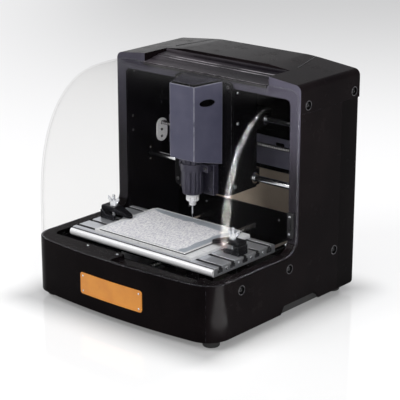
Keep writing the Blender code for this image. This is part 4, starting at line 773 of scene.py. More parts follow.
def turned(name, profile, centre, axis, finish, steps=48, loop=False, smooth=38.0):
    """(radius, along) points turned about an axis: x = r cos a, y = r sin a at each angle a.

    A radius of 0 at an end is one shared point. A loop profile closes on itself, as a ring.
    """
    profile = np.asarray(profile, float)
    angle = np.arange(steps) * TURN / steps
    hollow = profile[:, 0] > 1e-9
    rings = profile[hollow]
    a = centre[0] + rings[:, 0:1] * np.cos(angle)
    b = centre[1] + rings[:, 0:1] * np.sin(angle)
    t = np.repeat(rings[:, 1:2], steps, 1)
    points = [spread(a, b, t, axis).reshape(-1, 3)]
    faces = quads(len(rings), steps, wrap_rows=loop, wrap_cols=True).tolist()
    count = len(rings) * steps
    around = np.arange(steps)
    for end, start in ((0, 0), (-1, (len(rings) - 1) * steps)):
        if not hollow[end] and not loop:
            pole = spread(np.array([centre[0]]), centre[1], profile[end, 1], axis)
            points.append(pole)
            ring = start + around
            fan = np.stack([ring, np.roll(ring, -1), np.full(steps, count)], -1)
            faces += fan.tolist()
            count += 1
    return piece(name, np.concatenate(points), faces, finish, smooth)


def bar(node, axis, finish, chamfer=0.6 * MM, steps=64):
    """A round bar with chamfered ends in the CAD node's place."""
    low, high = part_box(node)
    k = "XYZ".index(axis)
    i, j = [n for n in range(3) if n != k]
    centre = ((low[i] + high[i]) / 2, (low[j] + high[j]) / 2)
    r = (high[i] - low[i]) / 2
    a, b = low[k], high[k]
    profile = [(0, a), (r - chamfer, a), (r, a + chamfer), (r, b - chamfer), (r - chamfer, b), (0, b)]
    return stands_for(turned(node + "_bar", profile, centre, axis, finish, steps), node)


def thread_points(centre, axis, low, high, radius, depth, pitch, steps, per_turn):
    """A screw thread as a grid of (angle, along).

    The radius is R less depth times a flat-topped wave of along / pitch - angle / turn.
    """
    rows = max(8, int((high - low) / pitch * per_turn))
    t = np.linspace(low, high, rows)[:, None]
    angle = (np.arange(steps) * TURN / steps)[None, :]
    phase = (t / pitch - angle / TURN) % 1.0
    wave = np.clip(2.2 * np.abs(2 * phase - 1) - 0.5, 0, 1)
    ends = np.clip(np.minimum(t - low, high - t) / pitch, 0, 1)
    r = radius - depth * (1 - wave * ends)
    a = centre[0] + r * np.cos(angle)
    b = centre[1] + r * np.sin(angle)
    return spread(a, b, np.broadcast_to(t, r.shape), axis), wave * ends


def threaded(name, centre, axis, low, high, radius, depth, pitch, finish, steps=28, per_turn=8):
    grid, crest = thread_points(centre, axis, low, high, radius, depth, pitch, steps, per_turn)
    rows = grid.shape[0]
    ends = [
        spread(np.array([centre[0]]), centre[1], low, axis),
        spread(np.array([centre[0]]), centre[1], high, axis),
    ]
    points = np.concatenate([grid.reshape(-1, 3), *ends])
    faces = quads(rows, steps, wrap_cols=True).tolist()
    first = np.arange(steps)
    last = (rows - 1) * steps + first
    count = rows * steps
    faces += np.stack([first, np.roll(first, -1), np.full(steps, count)], -1).tolist()
    faces += np.stack([last, np.roll(last, -1), np.full(steps, count + 1)], -1).tolist()
    item = piece(name, points, faces, finish, 60)
    point_attribute(item, "crest", np.concatenate([crest.ravel(), [1.0, 1.0]]))
    return item


def lead_screw(name, node, axis, radius, depth, pitch):
    """A rolled thread in the place of a CAD screw."""
    low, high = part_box(node)
    k = "XYZ".index(axis)
    centre = [(low[n] + high[n]) / 2 for n in range(3) if n != k]
    screw = threaded(name, centre, axis, low[k], high[k], radius, depth, pitch, "thread", 24, 12)
    stands_for(screw, node)


def star_radius(kind, size, angle):
    """Distance from a recess's middle to its wall: a hexagon, or a cross of two slots."""
    if kind == "hex":
        return size / np.cos((angle + TURN / 12) % (TURN / 6) - TURN / 12)
    half = 0.26 * size
    cos, sin = np.abs(np.cos(angle)) + 1e-9, np.abs(np.sin(angle)) + 1e-9
    return np.maximum(np.minimum(size / cos, half / sin), np.minimum(half / cos, size / sin))


def screw_shape(kind, radius, height, steps=24):
    """Rings of one screw head, each a radius per angle and a height, from recess to seat."""
    angle = np.arange(steps) * TURN / steps
    size = 0.5 * radius if kind == "hex" else 0.62 * radius
    wall = star_radius(kind, size, angle)
    full = np.full(steps, radius)
    if kind == "hex":
        crown = [(0.86, 1.0), (1.0, 0.84), (1.0, 0.0)]
    else:
        crown = [(0.74, 0.93), (0.92, 0.70), (1.0, 0.40), (1.0, 0.0)]
    rings = [(wall * 0.80, 0.45 * height), (wall, height)]
    rings += [(full * r, h * height) for r, h in crown]
    return angle, rings


def screws(name, places, facing, radius, height, finish, node, kind="cross", slot=None):
    """Screw heads at several places that all face one way, as one piece."""
    angle, rings = screw_shape(kind, radius, height)
    steps = len(angle)
    local = np.concatenate(
        [np.stack([r * np.cos(angle), r * np.sin(angle), np.full(steps, h)], -1) for r, h in rings]
    )
    local = np.concatenate([local, [[0, 0, 0.40 * height]], [[0, 0, 0.0]]])
    count = len(local)
    faces = quads(len(rings), steps, wrap_cols=True)
    ring = np.arange(steps)
    inner = np.stack([ring, np.roll(ring, -1), np.full(steps, count - 2)], -1)
    last = (len(rings) - 1) * steps + ring
    outer = np.stack([last, np.roll(last, -1), np.full(steps, count - 1)], -1)
    normal = Vector(facing).normalized()
    side = normal.orthogonal().normalized()
    up = normal.cross(side)
    axes = np.array([side, up, normal])
    places = np.asarray(places, float).reshape(-1, 3)
    points = (local @ axes)[None] + places[:, None]
    all_faces = []
    for i in range(len(places)):
        all_faces += (faces + i * count).tolist()
        all_faces += (inner + i * count).tolist()
        all_faces += (outer + i * count).tolist()
    item = piece(name, points, all_faces, finish, 30)
    edge = np.zeros(count)
    edge[2 * steps : 4 * steps] = 1.0
    point_attribute(item, "edge", np.tile(edge, len(places)))
    return goes_with(item, node)


def evaluated_mesh(item):
    graph = bpy.context.evaluated_depsgraph_get()
    mesh = bpy.data.meshes.new_from_object(item.evaluated_get(graph))
    item.modifiers.clear()
    item.data = mesh
    return item


def cut_by(item, *cutters):
    for cutter in cutters:
        modifier = item.modifiers.new("cut", "BOOLEAN")
        modifier.operation = "DIFFERENCE"
        modifier.solver = "EXACT"
        modifier.object = cutter
        evaluated_mesh(item)
        bpy.data.objects.remove(cutter, do_unlink=True)
    return item


def reshaped(item, move):
    """Puts a piece's points where move says, from their X, Y and Z as arrays."""
    flat = np.zeros(len(item.data.vertices) * 3)
    item.data.vertices.foreach_get("co", flat)
    item.data.vertices.foreach_set("co", np.stack(move(*flat.reshape(-1, 3).T), -1).ravel())
    item.data.update()
    return item


def ring_points(cx, cy, radius, steps=24, start=0.0, end=360.0, closed=True):
    angle = np.radians(np.linspace(start, end, steps, endpoint=not closed))
    return np.stack([cx + radius * np.cos(angle), cy + radius * np.sin(angle)], -1)


def rounded_box(low, high, radius, steps=6):
    """A rectangle's outline with round corners."""
    corners = [(high[0] - radius, high[1] - radius, 0), (low[0] + radius, high[1] - radius, 90)]
    corners += [(low[0] + radius, low[1] + radius, 180), (high[0] - radius, low[1] + radius, 270)]
    arcs = [ring_points(x, y, radius, steps, s, s + 90, closed=False) for x, y, s in corners]
    return np.concatenate(arcs)


# ---------------------------------------------------------------- places on the machine

LOW, HIGH = (Vector(corner) for corner in CAD_BOX)
HALF = HIGH.x
FRONT = LOW.y
BACK = HIGH.y
TOP = HIGH.z
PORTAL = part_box("top_cover")[0].y
RIM_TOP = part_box("front_panel")[1].z
POST_INNER = HALF - 22 * MM
RIM_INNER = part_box("front_panel")[1].y
TABLE_LOW, TABLE_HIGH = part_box("table")
TABLE_Y = (TABLE_LOW.y + TABLE_HIGH.y) / 2
SPINDLE_LOW, SPINDLE_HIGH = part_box("spindle_body")
SPINDLE = ((SPINDLE_LOW.x + SPINDLE_HIGH.x) / 2, (SPINDLE_LOW.y + SPINDLE_HIGH.y) / 2)
CUP_DEPTH = 5 * MM
CUP_BORE = 8.0 * MM
RIDGE_HALF = 98 * MM


def middle(node):
    low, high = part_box(node)
    return (low + high) / 2


# ---------------------------------------------------------------- covers


def split_faces(item, finish, wanted):
    """Gives the faces that pass a test a second finish on the same piece."""
    mesh = item.data
    mesh.materials.append(FINISH[finish])
    count = len(mesh.polygons)
    centres = np.zeros(count * 3, np.float32)
    normals = np.zeros(count * 3, np.float32)
    mesh.polygons.foreach_get("center", centres)
    mesh.polygons.foreach_get("normal", normals)
    chosen = wanted(centres.reshape(-1, 3), normals.reshape(-1, 3))
    mesh.polygons.foreach_set("material_index", chosen.astype(np.int32))
    return item


def portal_front(centres, normals):
    """Faces that look forward on the portal, between its rounded edges."""
    forward = normals[:, 1] < -0.75
    return forward & (np.abs(centres[:, 1] - PORTAL) < 1.5 * MM)


def covers():
    refined("front_panel", "paint", 0.9 * MM, 3)
    refined("rear_cover", "paint", 0.8 * MM, 3)
    for node in ("side_cover_left", "side_cover_right", "top_cover"):
        item = refined(node, "paint", 1.1 * MM, 3)
        if node == "top_cover":
            smoothed(cut_by(item, *recess_bores(-1, node), *recess_bores(1, node)))
        else:
            side = -1 if node.endswith("left") else 1
            smoothed(cut_by(item, *recess_bores(side, "side_cover")))
        # The portal's forward faces take the black paint's painted reflection in violet grey.
        split_faces(item, "front", portal_front)


def cover_screws():
    """Cross-head screws at the bottom of the side recesses, and along the rear cover."""
    seat = HALF - CUP_DEPTH
    for side, word in SIDES:
        for name, cover, node in (
            ("side_screws_", "side_cover", "side_cover_" + word), ("cap_screws_", "top_cover", "top_cover"),
        ):
            places = [(side * seat, y, z) for y, z, where in cup_spots() if where == cover]
            screws(name + word, places, (side, 0, 0), 3.9 * MM, 2.2 * MM, "screw", node)
    rear = [(x, BACK, z) for x in (-200 * MM, 0.0, 200 * MM) for z in (24 * MM, 354 * MM)]
    rear += [(x, BACK, 190 * MM) for x in (-200 * MM, 200 * MM)]
    rear = [(x, y - 1.6 * MM, z) for x, y, z in rear]
    screws("rear_screws", rear, (0, 1, 0), 3.2 * MM, 1.6 * MM, "screw", "rear_cover")
    caps = [(x, BACK - 1.6 * MM, TOP - 50 * MM) for x in (-190 * MM, -65 * MM, 65 * MM, 190 * MM)]
    screws("rear_cap_screws", caps, (0, 1, 0), 3.2 * MM, 1.6 * MM, "screw", "top_cover")
    rim = [(-96 * MM, RIM_INNER - 9 * MM, RIM_TOP), (-24 * MM, RIM_INNER - 9 * MM, RIM_TOP)]
    rim = [(x, y, z - 0.1 * MM) for x, y, z in rim]
    screws("rim_screws", rim, (0, 0, 1), 2.4 * MM, 1.2 * MM, "zinc", "front_panel", slot="chrome")


def roof_fall(x):
    """How far the roof lies under its ridge: level in the middle, then 11 down in 117 across."""
    return np.maximum(0, np.abs(x) - RIDGE_HALF) * 11 / 117


def roof_grooves():
    """Two creases on the roof, as thin sunk strips that follow its slope."""
    for side, word in SIDES:
        t = np.linspace(0, 1, 24)
        x = side * (143 - 23 * t) * MM
        y = (121 + 82 * t) * MM
        z = TOP - roof_fall(x)
        offsets = np.array([(-0.9, 0.05), (-0.35, -0.15), (0.35, -0.15), (0.9, 0.05)]) * MM
        rows = [np.stack([x + a, y, z + b - 0.02 * MM], -1) for a, b in offsets]
        rows += [np.stack([x + a, y, z - 1.0 * MM], -1) for a in (0.9 * MM, -0.9 * MM)]
        grid = np.stack(rows, 0)
        faces = quads(6, 24, wrap_rows=True).tolist()
        faces += [[i * 24 for i in range(6)], [i * 24 + 23 for i in range(6)]]
        goes_with(piece(f"roof_crease_{word}", grid, faces, "screw", 30), "top_cover")


def recess_lip():
    """The roof's rolled edge behind the hinge: a quarter turn in (Y, Z) carried along X."""
    low_y = HINGE.y + 5.4 * MM
    angle = np.radians(np.linspace(0, 90, 12))
    reach = 2.6 * MM
    edge_y = low_y + reach * (1 - np.cos(angle))
    edge_z = TOP - 5.4 * MM + 4.6 * MM * np.sin(angle)
    under = TOP - 9.4 * MM
    curve = np.stack([edge_y, edge_z], -1)
    outline = np.concatenate([curve, [(low_y + reach, under), (low_y, under)]])
    lip = block("roof_lip", outline, -TONGUE_HALF, TONGUE_HALF, "X", "leaf", 0)
    goes_with(reshaped(lip, lambda x, y, z: (x, y, z - roof_fall(x))), "top_cover")


def part_lines():
    """The dark joint between the cap and the side covers where it crosses the posts' fronts."""
    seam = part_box("side_cover_left")[1].z
    for side, word in SIDES:
        ends = sorted((side * (POST_INNER + 0.4 * MM), side * (HALF - 0.6 * MM)))
        low = (ends[0], PORTAL - 0.08 * MM, seam - 0.2 * MM)
        line = box_block("post_joint_" + word, low, (ends[1], PORTAL + 0.6 * MM, seam + 0.6 * MM), "backing", 0)
        goes_with(line, "top_cover")


def cup_spots():
    """Where the screw recesses of one side lie, as (Y, Z, cover)."""
    lower = (FRONT + 90 * MM, PORTAL - 22.5 * MM, BACK - 64.5 * MM)
    upper = (PORTAL + 22.5 * MM, BACK - 16 * MM)
    return [(y, 93 * MM, "side_cover") for y in lower] + [(y, TOP - 49 * MM, "top_cover") for y in upper]


def recess_bores(side, cover):
    """Round cutters that open the screw recesses of one cover on one side."""
    ends = sorted((side * (HALF - 9 * MM), side * (HALF + 3 * MM)))
    bores = []
    for y, z, where in cup_spots():
        if where == cover:
            bores.append(block("bore", ring_points(y, z, CUP_BORE, 40), *ends, "X", "ring", 0))
    return bores


def cups():
    """A pressed cup in each screw recess: floor, wall and a rolled lip, turned about X."""
    for side, word in SIDES:
        for n, (y, z, cover) in enumerate(cup_spots()):
            rings = [(0, -4.9), (6.4, -4.9), (6.9, -4.4), (7.2, -1.2), (7.3, 0.05), (7.8, 0.3), (8.5, 0.25)]
            rings += [(8.9, -0.2), (8.1, -0.4), (7.75, -1.4), (7.5, -5.4), (0, -5.4)]
            profile = [(r * MM, side * (HALF + t * MM)) for r, t in rings]
            node = cover + "_" + word if cover == "side_cover" else cover
            goes_with(turned(f"cup_{word}_{n + 1}", profile, (y, z), "X", "ring", 48), node)


def blank_plate():
    """The plain enamelled plate on the bowed front, held by four rivets.

    Its face follows the front's curve: y = front + x squared over twice the bow's radius.
    """
    bow = 1381 * MM
    centre_x, centre_z = -6 * MM, 60 * MM
    wide, tall = 148 * MM, 40 * MM
    outline = rounded_box((-wide / 2, -tall / 2), (wide / 2, tall / 2), 5 * MM, 8)
    along = np.linspace(-wide / 2 + 5 * MM, wide / 2 - 5 * MM, 26)[1:-1]
    upper = np.stack([along[::-1], np.full(24, tall / 2)], -1)
    lower = np.stack([along, np.full(24, -tall / 2)], -1)
    outline = np.concatenate([outline[:8], upper, outline[8:24], lower, outline[24:]])
    rings = [(1.0, 0.0), (1.0, 0.8 * MM), (0.985, 1.2 * MM), (0.955, 1.2 * MM), (0.945, 0.9 * MM)]
    scale = np.array([r for r, _ in rings])[:, None]
    lift = np.array([h for _, h in rings])[:, None]
    x = centre_x + outline[None, :, 0] * (1 - (1 - scale) * 0.45)
    z = centre_z + outline[None, :, 1] * scale
    y = FRONT + x**2 / (2 * bow) - lift
    grid = np.stack([x, y, z], -1)
    count = grid.shape[1]
    inner = np.linspace(1, 0, 7)[1:, None, None]
    base = grid[-1][None]
    hub = np.array([centre_x, 0, centre_z])
    fill = hub + (base - hub) * inner
    fill[..., 1] = FRONT + fill[..., 0] ** 2 / (2 * bow) - 0.9 * MM
    grid = np.concatenate([grid, fill])
    faces = quads(len(grid), count, wrap_cols=True).tolist()
    faces.append(list(range(count)))
    item = piece("blank_front_plate", grid, faces, "amber", 30)
    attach(item, BODY_OF["front_panel"])
    for side, word in SIDES:
        px = centre_x + side * (wide / 2 - 7 * MM)
        py = FRONT + px**2 / (2 * bow) - 0.9 * MM
        places = [(px, py, centre_z + s * (tall / 2 - 6 * MM)) for s in (-1, 1)]
        screws(f"plate_rivets_{word}", places, (0, -1, 0), 1.8 * MM, 0.9 * MM, "zinc", "front_panel", slot="chrome")


# ---------------------------------------------------------------- hood

HOOD_INSET = 1.5 * MM
HOOD_WALL = 3 * MM
HOOD_SPRING = 138 * MM
HOOD_TOP = TOP - 19 * MM
HOOD_POWER = 2.8
HOOD_BACK = PORTAL - 1.5 * MM
HEEL = 27.5 * MM
HINGE = middle("hinge_pin")
TONGUE_HALF = 143 * MM


def base_outline(inset, back, side_points=40, corner_points=22, bow_points=60):
    """The base seen from above: straight side, round corner, bowed front, corner, side."""
    half = HALF - inset
    corner = 45 * MM - inset
    sag = 10.5 * MM
    flat = half - corner
    bow = (flat**2 + sag**2) / (2 * sag) + corner
    reach = bow - corner
    centre_y = FRONT + inset + bow
    corner_y = centre_y - math.sqrt(reach**2 - flat**2)
    lean = math.degrees(math.asin(flat / reach))
    run = 1 - np.linspace(0, 1, side_points) ** 2
    side_y = corner_y + (back - corner_y) * run
    left = np.stack([np.full(side_points, -half), side_y], -1)
    first = ring_points(-flat, corner_y, corner, corner_points, 180, 270 - lean, closed=False)
    front = ring_points(0, centre_y, bow, bow_points, 270 - lean, 270 + lean, closed=False)
    second = ring_points(flat, corner_y, corner, corner_points, 270 + lean, 360, closed=False)
    right = left[::-1] * np.array([-1.0, 1.0])
    return np.concatenate([left, first[1:], front[1:], second[1:], right[1:]])


def hood_rows():
    """How far forward and how high each row of the hood lies.

    Both follow a superellipse: depth to the power p plus height to the power p is one.
    """
    low = RIM_TOP + 0.3 * MM
    straight = [(1.0, low + (HOOD_SPRING - low) * s) for s in (0.0, 0.35, 0.7)]
    angle = np.linspace(0, math.pi / 2, 46)
    depth = np.cos(angle).clip(0, 1) ** (2 / HOOD_POWER)
    depth[-1] = 0.0
    height = HOOD_SPRING + (HOOD_TOP - HOOD_SPRING) * np.sin(angle) ** (2 / HOOD_POWER)
    return np.concatenate([np.array(straight), np.stack([depth, height], -1)])


def hood_shell():
    outline = base_outline(HOOD_INSET, HOOD_BACK)
    rows = hood_rows()
    depth = rows[:, 0:1]
    height = rows[:, 1:2]
    half = HALF - HOOD_INSET
    radius = 20 * MM
    over = np.maximum(0, height - (HOOD_TOP - radius))
    narrow = radius - np.sqrt(np.maximum(0, radius**2 - over**2))
    x = outline[None, :, 0] * (half - narrow) / half
    y = HOOD_BACK + (outline[None, :, 1] - HOOD_BACK) * depth
    start = PORTAL - HEEL
    near = HEEL - 1.5 * MM
    ahead = np.clip(y - start, 0, near)
    floor = RIM_TOP + 0.3 * MM + np.where(ahead > 0, HEEL - np.sqrt(np.maximum(near**2 - ahead**2, 0)), 0)
    lift = 0.05 * MM * np.arange(len(rows))[:, None]
    z = np.maximum(np.broadcast_to(height, x.shape), np.where(ahead > 0, floor + lift, 0))
    grid = np.stack([x, y, z], -1)
    count = len(outline)
    faces = quads(len(rows), count)
    item = piece("hood_shell", grid, faces, "clear", 60, outward=False)
    bm = bmesh.new()
    bm.from_mesh(item.data)
    bmesh.ops.remove_doubles(bm, verts=bm.verts, dist=0.02 * MM)
    bmesh.ops.dissolve_degenerate(bm, edges=bm.edges, dist=0.01 * MM)
    bm.faces.ensure_lookup_table()
    facing = sum(f.normal.y for f in bm.faces if abs(f.calc_center_median().x) < 50 * MM)
    if facing > 0:
        bmesh.ops.reverse_faces(bm, faces=bm.faces)
    bm.to_mesh(item.data)
    bm.free()
    item.data.shade_smooth()
    item.data.materials.append(FINISH["clear_edge"])
    wall = item.modifiers.new("wall", "SOLIDIFY")
    wall.thickness = HOOD_WALL
    wall.offset = -1
    wall.use_even_offset = True
    wall.use_quality_normals = True
    wall.material_offset_rim = 1
    evaluated_mesh(item)
    item.data.set_sharp_from_angle(angle=math.radians(50))
    return stands_for(item, "hood")


def hood_fittings():
    """The hinge leaf that fills the recess in the arch, its barrel and the barrel's end caps.

    The leaf's top runs from the shell's rear edge up to the barrel's crown on an eased ramp.
    """
    start = HOOD_BACK - 4 * MM
    t = np.linspace(0, 1, 20)
    y = start + (HINGE.y - start) * t
    rise = HINGE.z + 5.7 * MM - HOOD_TOP
    top = HOOD_TOP + 0.05 * MM + rise * (3 * t**2 - 2 * t**3)
    under = np.maximum(top - 4.2 * MM, HOOD_TOP - 2.9 * MM)
    outline = np.concatenate([np.stack([y, under], -1), np.stack([y[::-1], top[::-1]], -1)])
    leaf = block("hinge_leaf", outline, -TONGUE_HALF, TONGUE_HALF, "X", "leaf", 0.4 * MM)
    goes_with(leaf, "hood")
    # Raised ribs in a pale finish: painted highlight lines along the leaf.
    for n, share in enumerate((0.60, 0.74)):
        foot_y = start + (HINGE.y - start) * share
        foot_z = HOOD_TOP + rise * (3 * share**2 - 2 * share**3)
        ridge = np.array([(-0.9, -0.6), (-0.5, 0.9), (0.5, 0.95), (0.9, -0.6)]) * MM + (foot_y, foot_z)
        rib = block(f"leaf_rib_{n + 1}", ridge, -TONGUE_HALF + 5 * MM, TONGUE_HALF - 5 * MM, "X", "rib", 0.15 * MM)
        goes_with(rib, "hood")
    seal = box_block(
        "hood_seal",
        (-TONGUE_HALF, start + 0.6 * MM, HOOD_TOP - 6.4 * MM),
        (TONGUE_HALF, start + 3.4 * MM, HOOD_TOP - 3.1 * MM), "rubber", 0.3 * MM,
    )
    goes_with(seal, "hood")
    reach = TONGUE_HALF - 16 * MM
    r = 5.8 * MM
    profile = [(3.6 * MM, -reach), (r, -reach), (r, reach), (3.6 * MM, reach)]
    barrel = turned("hood_barrel", profile, (HINGE.y, HINGE.z), "X", "leaf", 40, loop=True)
    goes_with(barrel, "hood")
    for side, word in SIDES:
        a, b = side * (reach + 0.2 * MM), side * (TONGUE_HALF - 0.2 * MM)
        c = 0.8 * MM * side
        r = 6.0 * MM
        profile = [(3.4 * MM, a), (r - 0.8 * MM, a), (r, a + c), (r, b - c), (r - 0.8 * MM, b), (3.4 * MM, b)]
        cap = turned(f"hinge_cap_{word}", profile, (HINGE.y, HINGE.z), "X", "plastic", 40, loop=True)
        goes_with(cap, "hood")


# ---------------------------------------------------------------- head

COVER_FRONT_HALF = 28.5 * MM
COVER_TOP = 402.0 * MM
COVER_RISE = 0.055
COVER_FOLD = 4.5 * MM
COVER_FOOT = 262 * MM
COVER_REAR_FOOT = 250 * MM
COVER_DEPTH = 57 * MM


def cover_shape(name, inset, base, fold, finish):
    """A box spreading to the rear, its top sloping up, folded along its upper edges."""
    low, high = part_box("head_cover")
    centre = (low.x + high.x) / 2
    rate = ((high.x - low.x) / 2 - COVER_FRONT_HALF) / (high.y - low.y)
    side = inset * math.sqrt(1 + rate**2)
    fore, far = low.y + inset, high.y + (12 * MM if fold == 0 else 0.0)
    near_half = COVER_FRONT_HALF + rate * inset - side
    far_half = COVER_FRONT_HALF + rate * (far - low.y) - side
    plan = [(centre - near_half, fore), (centre + near_half, fore)]
    plan += [(centre + far_half, far), (centre - far_half, far)]
    top = COVER_TOP - inset
    outline = [(base, top + COVER_RISE * (y - low.y)) for _, y in plan]
    points = [(x, y, z[0]) for (x, y), z in zip(plan, outline)]
    points += [(x, y, z[1]) for (x, y), z in zip(plan, outline)]
    faces = [(3, 2, 1, 0), (4, 5, 6, 7)] + [(i, (i + 1) % 4, (i + 1) % 4 + 4, i + 4) for i in range(4)]
    item = piece(name, points, faces, finish)
    if fold:
        bm = bmesh.new()
        bm.from_mesh(item.data)
        upper = [e for e in bm.edges if min(v.co.z for v in e.verts) > base + 50 * MM]
        upper = [e for e in upper if not all(v.co.y > far - 0.1 * MM for v in e.verts)]
        bmesh.ops.bevel(bm, geom=upper, offset=fold, segments=1, affect="EDGES")
        bm.to_mesh(item.data)
        bm.free()
    return item


def cover_panel(name, start, end, finish, thick=1.1 * MM, gap=0.9 * MM):
    """One folded side: an outline of (run along the side, height) raised off the inner shell."""
    low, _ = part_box("head_cover")
    start, end = np.array(start), np.array(end)
    length = float(np.hypot(*(end - start)))
    along = (end - start) / length
    out = np.array([along[1], -along[0]])
    run = np.array([gap, length - gap])
    y = start[1] + along[1] * run
    foot = COVER_FOOT - (COVER_FOOT - COVER_REAR_FOOT) * (y - low.y) / COVER_DEPTH
    head = COVER_TOP - COVER_FOLD + COVER_RISE * (y - low.y)
    outline = [(run[0], foot[0]), (run[1], foot[1]), (run[1], head[1]), (run[0], head[0])]
    item = block(name, outline, -thick, 0.0, "Z", finish, 0.95 * MM, 3)

    def stand(u, v, w):
        return start[0] + along[0] * u + out[0] * w, start[1] + along[1] * u + out[1] * w, v

    return reshaped(item, stand)


def head_cover():
    """Black inner shell, three painted sides and a lid; the black shell seen between them is a painted reflection,
    standing in for the dark reflection along the folded edges.
    """
    low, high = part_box("head_cover")
    centre = (low.x + high.x) / 2
    mid_y = (low.y + high.y) / 2 - 2 * MM
    # The shell's black in the gaps between the panels and under the lid is a painted reflection of the folds.
    shell = cover_shape("head_cover_shell", 1.0 * MM, low.z, COVER_FOLD - 0.6 * MM, "screw")
    hollow = cover_shape("hollow", 2.0 * MM, low.z - 10 * MM, 0, "screw")
    slope = [(low.y - 5 * MM, low.z - 5 * MM), (high.y + 5 * MM, low.z - 5 * MM)]
    slope += [(high.y + 5 * MM, COVER_REAR_FOOT), (low.y - 5 * MM, COVER_FOOT + 1 * MM)]
    slant = block("slant", slope, centre - 80 * MM, centre + 80 * MM, "X", "screw", 0)
    angle = np.arange(40) * TURN / 40
    vent = np.stack([mid_y + 15.5 * MM * np.cos(angle), 366 * MM + 6.6 * MM * np.sin(angle)], -1)
    gap = rounded_box((centre - 41 * MM, high.y - 11 * MM), (centre + 20 * MM, high.y - 5 * MM), 2 * MM, 5)

    def vents():
        return block("vents", vent, centre - 80 * MM, centre + 80 * MM, "X", "screw", 0)

    def slot():
        return block("slot", gap, high.z - 20 * MM, high.z + 15 * MM, "Z", "screw", 0)

    stands_for(smoothed(cut_by(shell, hollow, slant, vents(), slot())), "head_cover")
    rear_half = (high.x - low.x) / 2
    corners = {
        "rear_left": (centre - rear_half, high.y), "front_left": (centre - COVER_FRONT_HALF, low.y),
        "front_right": (centre + COVER_FRONT_HALF, low.y), "rear_right": (centre + rear_half, high.y),
    }
    sides = (
        ("left", "rear_left", "front_left"), ("front", "front_left", "front_right"),
        ("right", "front_right", "rear_right"),
    )
    for word, start, end in sides:
        panel = cover_panel("head_cover_" + word, corners[start], corners[end], "lavender")
        if word != "front":
            cut_by(panel, vents())
        goes_with(smoothed(panel), "head_cover")
    inset = COVER_FOLD + 0.2 * MM
    plan = np.array([corners[c] for c in ("front_left", "front_right", "rear_right", "rear_left")])
    plan += np.array([(inset, inset), (-inset, inset), (-inset, 0), (inset, 0)])
    lid = block("head_cover_lid", plan, 0.0, 0.7 * MM, "Z", "lid", 0.3 * MM)
    base = COVER_TOP - 1.0 * MM
    reshaped(lid, lambda x, y, z: (x, y, z + base + COVER_RISE * (y - low.y)))
    goes_with(smoothed(cut_by(lid, slot())), "head_cover")


def spindle_motor():
    """Ribbed barrel: radius R less a narrow groove at each of the ribs, round a hollow nose."""
    low, high = SPINDLE_LOW.z, SPINDLE_HIGH.z
    ribs = 12
    steps = ribs * 20
    angle = (np.arange(steps) * TURN / steps)[None, :]
    groove = (0.5 + 0.5 * np.cos(ribs * angle)) ** 9
    rows = [
        (6.2, low + 2.0 * MM, 0), (11.0, low + 2.0 * MM, 0), (11.8, low, 0), (17.4, low, 0),
        (18.2, low + 0.8 * MM, 0), (18.2, low + 2.2 * MM, 0), (18.5, low + 2.8 * MM, 1),
        (18.5, low + 10 * MM, 1), (18.5, high - 10 * MM, 1),
        (18.5, high - 6 * MM, 1), (18.2, high - 5 * MM, 0), (18.2, high - 1.5 * MM, 0),
        (16.8, high, 0), (4.0, high, 0),
    ]
    r = np.array([[row[0]] for row in rows]) * MM
    z = np.array([[row[1]] for row in rows])
    deep = np.array([[row[2]] for row in rows])
    r = r - deep * 1.9 * MM * groove
    grid = spread(SPINDLE[0] + r * np.cos(angle), SPINDLE[1] + r * np.sin(angle), z + 0 * angle, "Z")
    faces = quads(len(rows), steps, wrap_cols=True).tolist()
    faces.append(list(range((len(rows) - 1) * steps, len(rows) * steps)))
    start = len(rows) * steps
    inner = spread(
        SPINDLE[0] + 6.2 * MM * np.cos(angle), SPINDLE[1] + 6.2 * MM * np.sin(angle), low + 20 * MM + 0 * angle, "Z"
    )
    points = np.concatenate([grid.reshape(-1, 3), inner.reshape(-1, 3)])
    around = np.arange(steps)
    well = np.stack([around, np.roll(around, -1), start + np.roll(around, -1), start + around], -1)
    faces += well.tolist()
    faces.append([int(i) for i in start + around])
    item = piece("spindle_barrel", points, faces, "violet", 32)
    return stands_for(item, "spindle_body")


